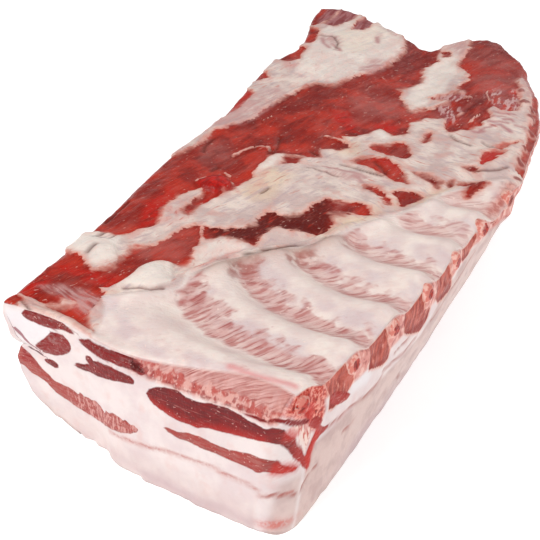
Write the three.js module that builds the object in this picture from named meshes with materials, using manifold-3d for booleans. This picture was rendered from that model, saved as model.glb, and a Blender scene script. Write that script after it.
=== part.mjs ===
// A thick raw breast slab with its ribs in, lying rind side down with the rib rack on top.
// Millimetres. x runs to the right across the front cut, y from the front cut to the back, z up.
// The curves are drawn from the foot of the front right corner. The group shifts them so that
// the slab's box stands centred on the origin.

import * as THREE from "three";
import { mergeVertices } from "three/addons/utils/BufferGeometryUtils.js";
import Module from "manifold-3d";

const wasm = await Module();
wasm.setup();

// Clearance between neighbouring pieces, and a height above everything.
const GAP = 0.3;
const SKY = 90;
const BOX_CENTRE = [-85.65, 176.86];

// Plan of the top edge, corner to corner.
const FRONT_RIM = [[-148, 0], [-120, 4], [-86, 2], [-56, 5], [-28, 10], [-5, 8]];
const RIGHT_RIM = [
  [-5, 8], [1, 39], [6, 85], [7.5, 120], [7, 154], [11, 194], [7, 224], [-0.5, 262], [-12, 297],
  [-32, 334],
];
const BACK_RIM = [
  [-181.5, 357], [-163, 361.5], [-120, 345], [-97, 337], [-84, 356], [-68, 364], [-50, 352],
  [-32, 334],
];
const LEFT_RIM = [
  [-148, 0], [-149.5, 30], [-152.5, 84], [-157, 120], [-160, 160], [-159, 200], [-169, 269],
  [-165, 300], [-178, 339], [-181.5, 357],
];

// Plan of the foot, where the rind meets the floor.
const FRONT_FOOT = [[-114, 1], [-98, -1.5], [-86, -6.5], [-60, -9], [-25, -10.5], [-13, -10]];
const RIGHT_FOOT = [
  [-13, -10], [-5, -7], [-1.5, 2], [-1, 30], [-3.5, 100], [-10, 190], [-18, 255], [-28, 295],
  [-60, 320],
];
const BACK_FOOT = [[-150, 325], [-105, 314], [-60, 320]];
const LEFT_FOOT = [[-114, 1], [-117, 60], [-122, 160], [-132, 250], [-150, 325]];

// Wall profiles: at each share of the rim's height, how far the wall has come from foot to rim.
// The left wall bulges low, has a notch under its top flap and then overhangs. The right wall
// stands steep below the ribs and leans more over the far stretch behind them.
const LEVEL = [0, 0.06, 0.16, 0.38, 0.62, 0.69, 0.75, 0.88, 1];
const WALL = {
  front: [0, 0.02, 0.06, 0.17, 0.31, 0.36, 0.42, 0.56, 1],
  right: [0, 0.14, 0.3, 0.63, 0.92, 0.96, 1, 1.03, 1],
  far: [0, 0.09, 0.19, 0.46, 0.65, 0.72, 0.8, 0.95, 1],
  back: [0, 0.28, 0.55, 0.82, 0.95, 0.98, 1, 1.02, 1],
  left: [0, 0.27, 0.58, 0.83, 0.84, 0.64, 0.82, 1.03, 1],
};
const FAR_STRETCH = [135, 190];

// Cells of the slab's surface. Those along the ribs are finer than those behind them.
const CELLS_ACROSS = 16;
const CELLS_ALONG_RIBS = 40;
const CELLS_BEHIND = 14;
const RIB_SHARE = 0.6;

// The rib rack's edge in plan, from the front left round to the right side.
const RACK_EDGE = [
  [-156, 6], [-118, 26], [-106, 36], [-97, 42], [-91, 50], [-92, 62], [-88, 72], [-80, 88], [-70, 98],
  [-58, 108], [-50, 122], [-44, 135], [-37, 146], [-26, 164], [-20, 184], [-6, 202], [9, 214], [26, 224],
];

// The ribs start this far back along the right edge and bend further back towards the left.
// The top rounds off towards the side where they end.
const RIB_COUNT = 7;
const RIB_FIRST = 12.5;
const RIB_PITCH = 31;
const RIB_STRAIGHT = 15;
const RIB_BEND = 24;
const RIB_BEND_REACH = 65;
const RIB_RADIUS = 4.8;
const RIB_DEPTH = 8.6;
const RIDGE_HEIGHT = 2.2;
const SIDE_DROP = 3;
const SIDE_ROUND = 7;
const RIB_SHORTEST = 13;
const RIB_FROM_EDGE = 16;
const RIB_LEFT = -98;
const RIB_RIGHT = 18;
const RIB_STEPS = 5;

// Swellings and hollows of the top: x, y, half width, half length, turn in degrees, height.
const LOBES = [
  [-143, 122, 10, 60, 3, 2.4],
  [-138, 54, 11, 10, 0, 2.6],
  [-102, 50, 9, 10, 0, 2.4],
  [-82, 152, 34, 16, -35, 2.2],
  [-121, 133, 8, 8, 0, 2],
  [-120, 167, 7, 15, 10, 1.6],
  [-112, 235, 20, 42, 10, 2.4],
  [-58, 190, 14, 9, -30, 1.6],
  [-150, 285, 14, 38, 5, 1.6],
  [-36, 288, 24, 44, 20, 4.2],
  [-76, 300, 11, 44, 8, -3.2],
  [-98, 322, 10, 22, 0, -2],
  [-68, 352, 10, 12, 0, 2],
];

// The muscles that lie bare on the top, in plan.
const MUSCLES = {
  band_muscle: [
    [-160, 46], [-150, 26], [-128, 29], [-116, 34], [-114, 48], [-109, 61], [-99, 71], [-102, 84],
    [-96, 94], [-80, 100], [-79, 113], [-60, 119], [-55, 128], [-57, 138], [-44, 151], [-61, 153],
    [-71, 137], [-75, 126], [-88, 125], [-91, 111], [-106, 99], [-115, 92], [-121, 68], [-131, 56],
    [-134, 46],
  ],
  flank_muscle: [
    [-165, 66], [-145, 67], [-134, 75], [-128, 92], [-134, 106], [-136, 120], [-127, 128],
    [-122, 112], [-117, 130], [-113, 150], [-118, 178], [-100, 182], [-86, 189], [-82, 203],
    [-90, 212], [-80, 226], [-67, 238], [-70, 256], [-84, 272], [-87, 300], [-86, 340], [-106, 340],
    [-103, 314], [-108, 298], [-116, 276], [-134, 256], [-140, 236], [-146, 202], [-155, 184],
    [-168, 170],
  ],
  end_muscle: [
    [-76, 350], [-84, 370], [-60, 374], [-38, 356], [-16, 328], [2, 296], [-8, 284], [-26, 280],
    [-15, 262], [-34, 250], [-46, 250], [-65, 262], [-62, 276], [-60, 300], [-70, 326],
  ],
};

// Lean seams on the front cut, as closed outlines of x and z. They run the slab's whole length.
const SEAMS = {
  lean_main: [
    [-72, 43], [-67, 49], [-56, 51.2], [-32, 52], [-14, 50.6], [-4, 47.6], [1, 41.5], [0.5, 38],
    [-10, 42.6], [-26, 40.8], [-44, 36.4], [-63, 36.6],
  ],
  lean_low_right: [
    [-62, 30], [-50, 33], [-28, 33.6], [-12, 36.6], [-1.5, 38], [-0.5, 35], [-12, 30.4], [-38, 28.6],
  ],
  lean_low_left: [
    [-145, 43.6], [-136, 39.6], [-127, 34], [-117, 29.4], [-102, 26.4], [-88, 23], [-78, 20.4],
    [-88, 16.6], [-101, 18.6], [-118, 23], [-129, 27.6], [-145, 33],
  ],
  lean_marbled: [
    [-131, 46], [-125, 51], [-116, 54.4], [-109, 54], [-111, 49.4], [-119, 45.6], [-127, 44],
  ],
  lean_small: [[-128, 38.4], [-123, 41.4], [-118.4, 40], [-120, 37.4], [-125, 36.8]],
  lean_mid: [[-107, 43.6], [-101, 49], [-91, 49.4], [-83, 47.4], [-77, 44.6], [-84, 43.4], [-95, 43.2]],
};
const SEAM_DRIFT = -0.095;
const SEAM_START = -40;
const SEAM_END = 400;

const COLOURS = {
  fat: 0xe9d6cf,
  rack: 0xdfc4bc,
  bone: 0xd9a79c,
  lean: 0x9c2a26,
  dark: 0x7d2326,
};

const clamp01 = (t) => Math.min(Math.max(t, 0), 1);
const ease = (from, to, t) => THREE.MathUtils.smoothstep(t, from, to);
const mix = THREE.MathUtils.lerp;

// A smooth curve through points, read by share of its length.
function curve(points, closed = false) {
  const knots = points.map(([a, b]) => new THREE.Vector3(a, b, 0));
  return new THREE.CatmullRomCurve3(knots, closed, "catmullrom", 0.5);
}

// Shares from 0 to 1, closer together near both ends so that the rim stays crisp.
function sharesAcross() {
  return Array.from({ length: CELLS_ACROSS + 1 }, (_, i) => {
    const t = i / CELLS_ACROSS;
    return t - 0.07 * Math.sin(2 * Math.PI * t);
  });
}

function sharesAlong() {
  const ribs = Array.from({ length: CELLS_ALONG_RIBS }, (_, i) => (RIB_SHARE * i) / CELLS_ALONG_RIBS);
  const behind = Array.from(
    { length: CELLS_BEHIND + 1 },
    (_, i) => RIB_SHARE + ((1 - RIB_SHARE) * i) / CELLS_BEHIND,
  );
  return [...ribs, ...behind];
}

// Distance from a polyline in plan, positive to the left of its direction.
function besideLine(line, x, y) {
  let nearest = Infinity;
  let side = 1;
  for (let i = 0; i + 1 < line.length; i += 1) {
    const [ax, ay] = line[i];
    const [bx, by] = line[i + 1];
    const dx = bx - ax;
    const dy = by - ay;
    const t = clamp01(((x - ax) * dx + (y - ay) * dy) / (dx * dx + dy * dy));
    const distance = Math.hypot(x - ax - t * dx, y - ay - t * dy);
    if (distance < nearest) {
      nearest = distance;
      side = dx * (y - ay) - dy * (x - ax) >= 0 ? 1 : -1;
    }
  }
  return side * nearest;
}

// How far a rib's line has moved back at x, compared with the right edge.
function ribBend(x, y) {
  const reach = THREE.MathUtils.clamp((-x - RIB_STRAIGHT) / RIB_BEND_REACH, 0, 1.6);
  return RIB_BEND * reach * reach * THREE.MathUtils.clamp(y / RIB_BEND_REACH, 0.3, 1.8);
}

function ribLine(k) {
  return RIB_FIRST + RIB_PITCH * k;
}

// Whole numbers lie on the ribs' centre lines.
function ribPhase(x, y) {
  return (y - ribBend(x, y) - RIB_FIRST) / RIB_PITCH;
}

function lobe(x, y, [cx, cy, halfWidth, halfLength, turn, height]) {
  const angle = THREE.MathUtils.degToRad(turn);
  const across = (x - cx) * Math.cos(angle) + (y - cy) * Math.sin(angle);
  const along = (y - cy) * Math.cos(angle) - (x - cx) * Math.sin(angle);
  return height * Math.exp(-((across / halfWidth) ** 2) - (along / halfLength) ** 2);
}

// Height of the top without its relief: it falls from the front right corner to the back left.
function tableHeight(x, y) {
  const left = 54.8 + 6.2 * Math.exp(-Math.max(y, 0) / 45);
  const right = 67.5 - 0.036 * y + 1.5 * Math.exp(-Math.max(y, 0) / 12);
  return mix(left, right, clamp01((x + 150) / 155) ** 3);
}

function topHeight(x, y) {
  const beside = besideLine(RACK_EDGE, x, y);
  const onRack = 1 - ease(-6, 2, beside);
  const ridges = RIDGE_HEIGHT * Math.cos(2 * Math.PI * ribPhase(x, y)) * onRack;
  const rolledEdge = 2.4 * Math.exp(-(((beside + 3) / 4) ** 2));
  const trough = -3 * Math.exp(-(((beside - 6) / 5) ** 2)) * ease(30, 60, y);
  const flank = 2.4 * ease(-3, 8, beside);
  const lobes = LOBES.reduce((sum, shape) => sum + lobe(x, y, shape), 0);
  const rounded = SIDE_DROP * (1 - ease(0, SIDE_ROUND, besideLine(RIGHT_RIM, x, y)));
  return tableHeight(x, y) + ridges + rolledEdge + trough + flank + lobes - rounded;
}

// Turns points and triangles into a solid. Triangles name their points by number.
function solidFrom(points, triangles) {
  const geometry = new THREE.BufferGeometry();
  geometry.setAttribute("position", new THREE.Float32BufferAttribute(points.flat(), 3));
  geometry.setIndex(triangles.flat());
  return solidOf(geometry);
}

function solidOf(geometry) {
  geometry.deleteAttribute("normal");
  geometry.deleteAttribute("uv");
  const merged = mergeVertices(geometry, 1e-4);
  return new wasm.Manifold(new wasm.Mesh({
    numProp: 3,
    vertProperties: new Float32Array(merged.attributes.position.array),
    triVerts: new Uint32Array(merged.index.array),
  }));
}

// The patch between four edges, as rows of plan points: patch[i][j] is column i, row j.
function patchBetween(front, right, back, left) {
  const columns = front.length - 1;
  const rows = left.length - 1;
  const blend = (i, j, axis) => {
    const u = i / columns;
    const v = j / rows;
    const ruledAlong = mix(front[i][axis], back[i][axis], v);
    const ruledAcross = mix(left[j][axis], right[j][axis], u);
    const near = mix(front[0][axis], front[columns][axis], u);
    const far = mix(back[0][axis], back[columns][axis], u);
    return ruledAlong + ruledAcross - mix(near, far, v);
  };
  return front.map((_, i) => left.map((_, j) => [blend(i, j, 0), blend(i, j, 1)]));
}

function edgePoints(points, list) {
  const line = curve(points);
  return list.map((t) => {
    const p = line.getPointAt(clamp01(t));
    return [p.x, p.y];
  });
}

// How much of each wall's profile holds at each point of the ring of the rim.
function wallWeights(ring, starts) {
  const steps = ring.map(([x, y], i) => {
    const next = ring[(i + 1) % ring.length];
    return Math.hypot(next[0] - x, next[1] - y);
  });
  const whole = steps.reduce((sum, step) => sum + step, 0);
  const along = steps.map((_, i) => steps.slice(0, i).reduce((sum, step) => sum + step, 0));
  const corners = starts.map((start) => along[start]);
  const past = (i, corner) => ((along[i] - corner + 1.5 * whole) % whole) - whole / 2;
  return ring.map((_, i) => {
    const front = ease(0, 16, past(i, corners[0])) * (1 - ease(-4, 8, past(i, corners[1])));
    const side = ease(-4, 8, past(i, corners[1])) * (1 - ease(-14, 14, past(i, corners[2])));
    const far = side * ease(...FAR_STRETCH, past(i, corners[1]));
    const back = ease(-14, 14, past(i, corners[2])) * (1 - ease(-12, 12, past(i, corners[3])));
    const left = Math.max(1 - front - side - back, 0);
    return { front, right: side - far, far, back, left };
  });
}

// The whole slab: the patch on top, the walls round it and the flat foot.
function makeSlab() {
  const across = sharesAcross();
  const along = sharesAlong();
  const lastColumn = across.length - 1;
  const lastRow = along.length - 1;
  const rims = [
    edgePoints(FRONT_RIM, across), edgePoints(RIGHT_RIM, along),
    edgePoints(BACK_RIM, across), edgePoints(LEFT_RIM, along),
  ];
  const feet = [
    edgePoints(FRONT_FOOT, across), edgePoints(RIGHT_FOOT, along),
    edgePoints(BACK_FOOT, across), edgePoints(LEFT_FOOT, along),
  ];
  const patch = patchBetween(...rims);
  const points = patch.flatMap((column) => column.map(([x, y]) => [x, y, topHeight(x, y)]));
  const rowCount = along.length;
  const topIndex = (i, j) => i * rowCount + j;
  const triangles = [];
  const addQuad = (a, b, c, d) => triangles.push([a, b, c], [a, c, d]);
  for (let i = 0; i < lastColumn; i += 1) {
    for (let j = 0; j < lastRow; j += 1) {
      addQuad(topIndex(i, j), topIndex(i + 1, j), topIndex(i + 1, j + 1), topIndex(i, j + 1));
    }
  }

  const ringOf = ([front, right, back, left]) => [
    ...front.slice(0, -1), ...right.slice(0, -1),
    ...back.slice().reverse().slice(0, -1), ...left.slice().reverse().slice(0, -1),
  ];
  const numbered = [
    across.map((_, i) => topIndex(i, 0)), along.map((_, j) => topIndex(lastColumn, j)),
    across.map((_, i) => topIndex(i, lastRow)), along.map((_, j) => topIndex(0, j)),
  ];
  const rimNumbers = ringOf(numbered);
  const rimRing = rimNumbers.map((n) => points[n]);
  const footRing = ringOf(feet);
  const starts = [0, lastColumn, lastColumn + lastRow, 2 * lastColumn + lastRow];
  const weights = wallWeights(rimRing, starts);
  const levels = LEVEL.slice(0, -1).map((share, level) => rimRing.map(([x, y, z], i) => {
    const sides = Object.entries(weights[i]);
    const reach = sides.reduce((sum, [side, weight]) => sum + weight * WALL[side][level], 0);
    points.push([mix(footRing[i][0], x, reach), mix(footRing[i][1], y, reach), z * share]);
    return points.length - 1;
  }));
  levels.push(rimNumbers);
  for (let level = 0; level + 1 < levels.length; level += 1) {
    for (let i = 0; i < rimNumbers.length; i += 1) {
      const next = (i + 1) % rimNumbers.length;
      addQuad(levels[level][i], levels[level][next], levels[level + 1][next], levels[level + 1][i]);
    }
  }
  const contour = footRing.map(([x, y]) => new THREE.Vector2(x, y));
  for (const [a, b, c] of THREE.ShapeUtils.triangulateShape(contour, [])) {
    triangles.push([levels[0][a], levels[0][c], levels[0][b]]);
  }
  return solidFrom(points, triangles);
}

// All that lies above a sheet z = lower(x, y), up to the sky.
function above(lower, step = 24) {
  const xs = [];
  const ys = [];
  for (let x = -210; x <= 40; x += step) xs.push(x);
  for (let y = -40; y <= 400; y += step) ys.push(y);
  const points = [];
  for (const z of [lower, () => SKY]) {
    for (const x of xs) {
      for (const y of ys) points.push([x, y, z(x, y)]);
    }
  }
  const at = (i, j, high) => (high * xs.length + i) * ys.length + j;
  const triangles = [];
  const addQuad = (a, b, c, d) => triangles.push([a, b, c], [a, c, d]);
  for (let i = 0; i + 1 < xs.length; i += 1) {
    for (let j = 0; j + 1 < ys.length; j += 1) {
      addQuad(at(i, j, 1), at(i + 1, j, 1), at(i + 1, j + 1, 1), at(i, j + 1, 1));
      addQuad(at(i, j, 0), at(i, j + 1, 0), at(i + 1, j + 1, 0), at(i + 1, j, 0));
    }
  }
  for (let i = 0; i + 1 < xs.length; i += 1) {
    const last = ys.length - 1;
    addQuad(at(i, 0, 0), at(i + 1, 0, 0), at(i + 1, 0, 1), at(i, 0, 1));
    addQuad(at(i + 1, last, 0), at(i, last, 0), at(i, last, 1), at(i + 1, last, 1));
  }
  for (let j = 0; j + 1 < ys.length; j += 1) {
    const last = xs.length - 1;
    addQuad(at(0, j + 1, 0), at(0, j, 0), at(0, j, 1), at(0, j + 1, 1));
    addQuad(at(last, j, 0), at(last, j + 1, 0), at(last, j + 1, 1), at(last, j, 1));
  }
  return solidFrom(points, triangles);
}

// A closed outline grown outwards, each side moved by the distance. It may run either way round.
function grown(outline, distance) {
  const area = THREE.ShapeUtils.area(outline.map(([x, y]) => new THREE.Vector2(x, y)));
  const out = Math.sign(area) * distance;
  const count = outline.length;
  const normals = outline.map(([x, y], i) => {
    const [nx, ny] = outline[(i + 1) % count];
    const length = Math.hypot(nx - x, ny - y);
    return [(ny - y) / length, (x - nx) / length];
  });
  return outline.map(([x, y], i) => {
    const [ax, ay] = normals[(i + count - 1) % count];
    const [bx, by] = normals[i];
    const reach = out / Math.max(1 + ax * bx + ay * by, 0.3);
    return [x + (ax + bx) * reach, y + (ay + by) * reach];
  });
}

function prism(outline, depth) {
  const shape = new THREE.Shape(outline.map(([x, y]) => new THREE.Vector2(x, y)));
  return new THREE.ExtrudeGeometry(shape, { depth, bevelEnabled: false, curveSegments: 1 });
}

function smoothOutline(points, count) {
  return curve(points, true).getSpacedPoints(count).slice(0, -1).map((p) => [p.x, p.y]);
}

// A seam is its outline drawn through the slab from front to back, drifting left with the slab.
function seam(outline, spare) {
  const geometry = prism(grown(smoothOutline(outline, outline.length + 3), spare), SEAM_END - SEAM_START);
  geometry.applyMatrix4(new THREE.Matrix4().makeRotationX(Math.PI / 2));
  geometry.translate(0, SEAM_END, 0);
  geometry.applyMatrix4(new THREE.Matrix4().makeShear(0, 0, SEAM_DRIFT, 0, 0, 0));
  return solidOf(geometry);
}

// The left end of each rib, a little short of the rack's edge.
function ribEnd(k) {
  const beyondEdge = (x) => {
    const y = ribLine(k) + ribBend(x, ribLine(k));
    return besideLine(RACK_EDGE, x - RIB_FROM_EDGE, y) >= 0;
  };
  let x = 9 - RIB_SHORTEST;
  while (x > RIB_LEFT && !beyondEdge(x)) x -= 2;
  return x;
}

function rib(k, spare) {
  const end = ribEnd(k) - spare;
  const path = Array.from({ length: RIB_STEPS + 1 }, (_, i) => {
    const x = mix(end, RIB_RIGHT, i / RIB_STEPS);
    const y = ribLine(k) + ribBend(x, ribLine(k) + ribBend(x, ribLine(k)));
    return new THREE.Vector3(x, y, tableHeight(x, y) + RIDGE_HEIGHT - RIB_DEPTH);
  });
  const section = new THREE.Shape();
  section.absarc(0, 0, RIB_RADIUS + spare, 0, 2 * Math.PI);
  return solidOf(new THREE.ExtrudeGeometry(section, {
    steps: RIB_STEPS + 1,
    curveSegments: 5,
    bevelEnabled: false,
    extrudePath: new THREE.CatmullRomCurve3(path),
  }));
}

// Underside of the rib rack: deepest in the middle of the right side.
function rackUnderside(x, y) {
  const side = Math.exp(-(((x - 8) / 26) ** 2)) * Math.exp(-(((y - 112) / 62) ** 2));
  const frontLeft = 1 - ease(-125, -85, x);
  return 53.4 + 4 * frontLeft - 6 * ease(0, 60, y) - 10 * side;
}

// Underside of the bare muscles: thin at the front cut, thicker behind it.
function muscleUnderside(x, y) {
  return 57.4 - 10 * ease(0, 55, y);
}

function largest(solid) {
  return solid.decompose().reduce((best, piece) => (piece.volume() > best.volume() ? piece : best));
}

function meshOf(name, solid, colour, roughness) {
  const { vertProperties, triVerts } = largest(solid).getMesh();
  const geometry = new THREE.BufferGeometry();
  geometry.setAttribute("position", new THREE.BufferAttribute(new Float32Array(vertProperties), 3));
  geometry.setIndex(new THREE.BufferAttribute(new Uint32Array(triVerts), 1));
  const material = new THREE.MeshStandardMaterial({ color: colour, roughness, metalness: 0 });
  const mesh = new THREE.Mesh(geometry, material);
  mesh.name = name;
  return mesh;
}

// The space of each piece of the top, with some spare room round it.
function rackSpace(spare) {
  const edge = [...RACK_EDGE, [60, 224], [60, -60], [-156, -60]];
  const plan = solidOf(prism(grown(edge, spare), SKY));
  return plan.intersect(above((x, y) => rackUnderside(x, y) - spare));
}

function muscleSpace(name, spare) {
  const outline = smoothOutline(MUSCLES[name], Math.round(1.3 * MUSCLES[name].length));
  const plan = solidOf(prism(grown(outline, spare), SKY));
  return plan.intersect(above((x, y) => muscleUnderside(x, y) - spare));
}

const group = new THREE.Group();
const slab = makeSlab();

const rackCut = rackSpace(GAP);
let topCut = rackCut;
for (const name of Object.keys(MUSCLES)) topCut = topCut.add(muscleSpace(name, GAP));

const below = slab.subtract(topCut);
let fat = below;
for (const [name, outline] of Object.entries(SEAMS)) {
  group.add(meshOf(name, below.intersect(seam(outline, 0)), COLOURS.dark, 0.42));
  fat = fat.subtract(seam(outline, GAP));
}
group.add(meshOf("fat_and_skin", fat, COLOURS.fat, 0.5));

let rack = slab.intersect(rackSpace(0));
const wholeRack = rack;
for (let k = 0; k < RIB_COUNT; k += 1) {
  group.add(meshOf(`rib_${k + 1}`, wholeRack.intersect(rib(k, 0)), COLOURS.bone, 0.5));
  rack = rack.subtract(rib(k, GAP));
}
group.add(meshOf("rib_rack", rack, COLOURS.rack, 0.38));

for (const name of Object.keys(MUSCLES)) {
  const muscle = slab.intersect(muscleSpace(name, 0)).subtract(rackCut);
  group.add(meshOf(name, muscle, COLOURS.lean, 0.36));
}

group.position.set(-BOX_CENTRE[0], -BOX_CENTRE[1], 0);

export default group;
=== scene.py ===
import math

import bpy
import numpy as np
from mathutils import Matrix, Vector


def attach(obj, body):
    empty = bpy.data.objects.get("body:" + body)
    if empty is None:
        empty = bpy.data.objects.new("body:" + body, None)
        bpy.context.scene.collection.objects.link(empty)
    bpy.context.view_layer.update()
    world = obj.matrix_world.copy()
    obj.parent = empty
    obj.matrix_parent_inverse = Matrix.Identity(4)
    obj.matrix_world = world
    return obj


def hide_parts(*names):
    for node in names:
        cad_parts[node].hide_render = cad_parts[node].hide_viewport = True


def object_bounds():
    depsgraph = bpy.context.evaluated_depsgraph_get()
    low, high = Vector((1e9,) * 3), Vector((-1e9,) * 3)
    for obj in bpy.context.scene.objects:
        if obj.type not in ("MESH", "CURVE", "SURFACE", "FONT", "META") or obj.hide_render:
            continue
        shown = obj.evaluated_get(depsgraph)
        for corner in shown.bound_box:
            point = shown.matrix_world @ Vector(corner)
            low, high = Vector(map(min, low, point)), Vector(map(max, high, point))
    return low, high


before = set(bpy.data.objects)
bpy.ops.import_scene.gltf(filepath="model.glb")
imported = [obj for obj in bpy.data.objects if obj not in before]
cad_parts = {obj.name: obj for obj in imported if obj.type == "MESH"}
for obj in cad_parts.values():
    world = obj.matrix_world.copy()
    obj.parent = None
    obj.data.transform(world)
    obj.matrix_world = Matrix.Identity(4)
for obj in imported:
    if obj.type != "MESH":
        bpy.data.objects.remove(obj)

CAD_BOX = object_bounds()

# A thick raw breast slab, rind side down, with its rib rack on top. Places are in mm and measured
# as in the part: x to the right, y from the front cut to the back, z up. In the frame the slab's
# box stands centred on the origin, in metres.
MM = 0.001
BOX_CENTRE = np.array([-85.65, 176.86, 0.0])

# Cells of the slab's surface: across the top, along the top, and up the walls.
CELLS_ACROSS = 160
CELLS_ALONG = 320
CELLS_UP = 44

# Plan of the top edge, corner to corner.
FRONT_RIM = [(-148, 0), (-120, 4), (-86, 2), (-56, 5), (-28, 10), (-5, 8)]
RIGHT_RIM = [
    (-5, 8), (1, 39), (6, 85), (7.5, 120), (7, 154), (11, 194), (7, 224), (-0.5, 262), (-12, 297),
    (-32, 334),
]
BACK_RIM = [
    (-181.5, 357), (-163, 361.5), (-120, 345), (-97, 337), (-84, 356), (-68, 364), (-50, 352),
    (-32, 334),
]
LEFT_RIM = [
    (-148, 0), (-149.5, 30), (-152.5, 84), (-157, 120), (-160, 160), (-159, 200), (-169, 269),
    (-165, 300), (-178, 339), (-181.5, 357),
]

# Plan of the foot, where the rind meets the floor.
FRONT_FOOT = [(-114, 1), (-98, -1.5), (-86, -6.5), (-60, -9), (-25, -10.5), (-13, -10)]
RIGHT_FOOT = [
    (-13, -10), (-5, -7), (-1.5, 2), (-1, 30), (-3.5, 100), (-10, 190), (-18, 255), (-28, 295),
    (-60, 320),
]
BACK_FOOT = [(-150, 325), (-105, 314), (-60, 320)]
LEFT_FOOT = [(-114, 1), (-117, 60), (-122, 160), (-132, 250), (-150, 325)]

# Wall profiles: at each share of the rim's height, how far the wall has come from foot to rim.
LEVEL = [0, 0.05, 0.13, 0.25, 0.41, 0.54, 0.655, 0.69, 0.75, 0.85, 0.94, 1]
WALL = {
    "front": [0, 0.02, 0.05, 0.10, 0.18, 0.25, 0.33, 0.36, 0.42, 0.52, 0.74, 1],
    "right": [0, 0.12, 0.25, 0.44, 0.67, 0.84, 0.94, 0.96, 1, 1.03, 1.03, 1],
    "far": [0, 0.08, 0.17, 0.30, 0.50, 0.60, 0.68, 0.72, 0.80, 0.93, 1, 1],
    "back": [0, 0.25, 0.50, 0.70, 0.84, 0.92, 0.97, 0.98, 1, 1.02, 1.03, 1],
    "left": [0, 0.22, 0.50, 0.72, 0.84, 0.87, 0.78, 0.64, 0.82, 1, 1.04, 1],
}

# The rib rack's edge in plan, from the front left round to the right side.
RACK_EDGE = [
    (-156, 6), (-118, 26), (-106, 36), (-97, 42), (-91, 50), (-92, 62), (-88, 72), (-80, 88), (-70, 98),
    (-58, 108), (-50, 122), (-44, 135), (-37, 146), (-26, 164), (-20, 184), (-6, 202), (9, 214),
    (26, 224),
]

# At the front left corner lean shows through thin films instead of the rack.
CORNER_TOP = [(-175, -12), (-102, -12), (-104, 5), (-105, 14), (-110, 22), (-117, 27), (-175, 30)]

# The ribs start this far back along the right edge and bend further back towards the left.
RIB_COUNT = 7
RIB_FIRST = 12.5
RIB_PITCH = 31.0
RIB_STRAIGHT = 15.0
RIB_BEND = 24.0
RIB_BEND_REACH = 65.0
RIDGE_HEIGHT = 2.2

# Between one rib and the next, streaks of flesh show through: how far past the nearer rib they start,
# as a share of the pitch, and how steeply they lean.
STREAK_START = [0.26, 0.16, 0.16, 0.16, 0.3, 0.26, 0.26]
STREAK_LEAN = [54, 52, 44, 32, 28, 26, 26]

# The top's height at its left and right edges, how much each rises to the front cut and over what
# length, and how steeply the right edge falls to the back.
LEFT_HEIGHT = 54.8
LEFT_RISE = 6.2
LEFT_RISE_LENGTH = 45
RIGHT_HEIGHT = 67.5
RIGHT_RISE = 1.5
RIGHT_RISE_LENGTH = 12
RIGHT_FALL = 0.036

# The rack's edge: the fat rolled over it, the trough beside it and how much higher the fat lies.
ROLLED_EDGE = 2.4
TROUGH_DEPTH = 3
FAT_RISE = 2.4

# How far the top drops to the right side and from which distance, and its ceiling with the height
# below it over which it flattens.
SIDE_DROP = 3.0
SIDE_ROUND = 7.0
TOP_LIMIT = 67.0
SOFT_LIMIT = 2.5

# The walls' points from this height up are held at least so far above the floor.
FOOT_LEVEL = 0.5
FLOOR_GAP = 0.25

# Swellings and hollows of the top: x, y, half width, half length, turn in degrees, height.
LOBES = [
    (-143, 122, 10, 60, 3, 2.4), (-138, 54, 11, 10, 0, 2.6), (-102, 50, 9, 10, 0, 2.4),
    (-82, 152, 34, 16, -35, 2.2), (-121, 133, 8, 8, 0, 2), (-120, 167, 7, 15, 10, 1.6),
    (-112, 235, 20, 42, 10, 2.4), (-58, 190, 14, 9, -30, 1.6), (-150, 285, 14, 38, 5, 1.6),
    (-36, 288, 24, 44, 20, 4.2), (-76, 300, 11, 44, 8, -3.2), (-98, 322, 10, 22, 0, -2),
    (-68, 352, 10, 12, 0, 2),
]

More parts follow.
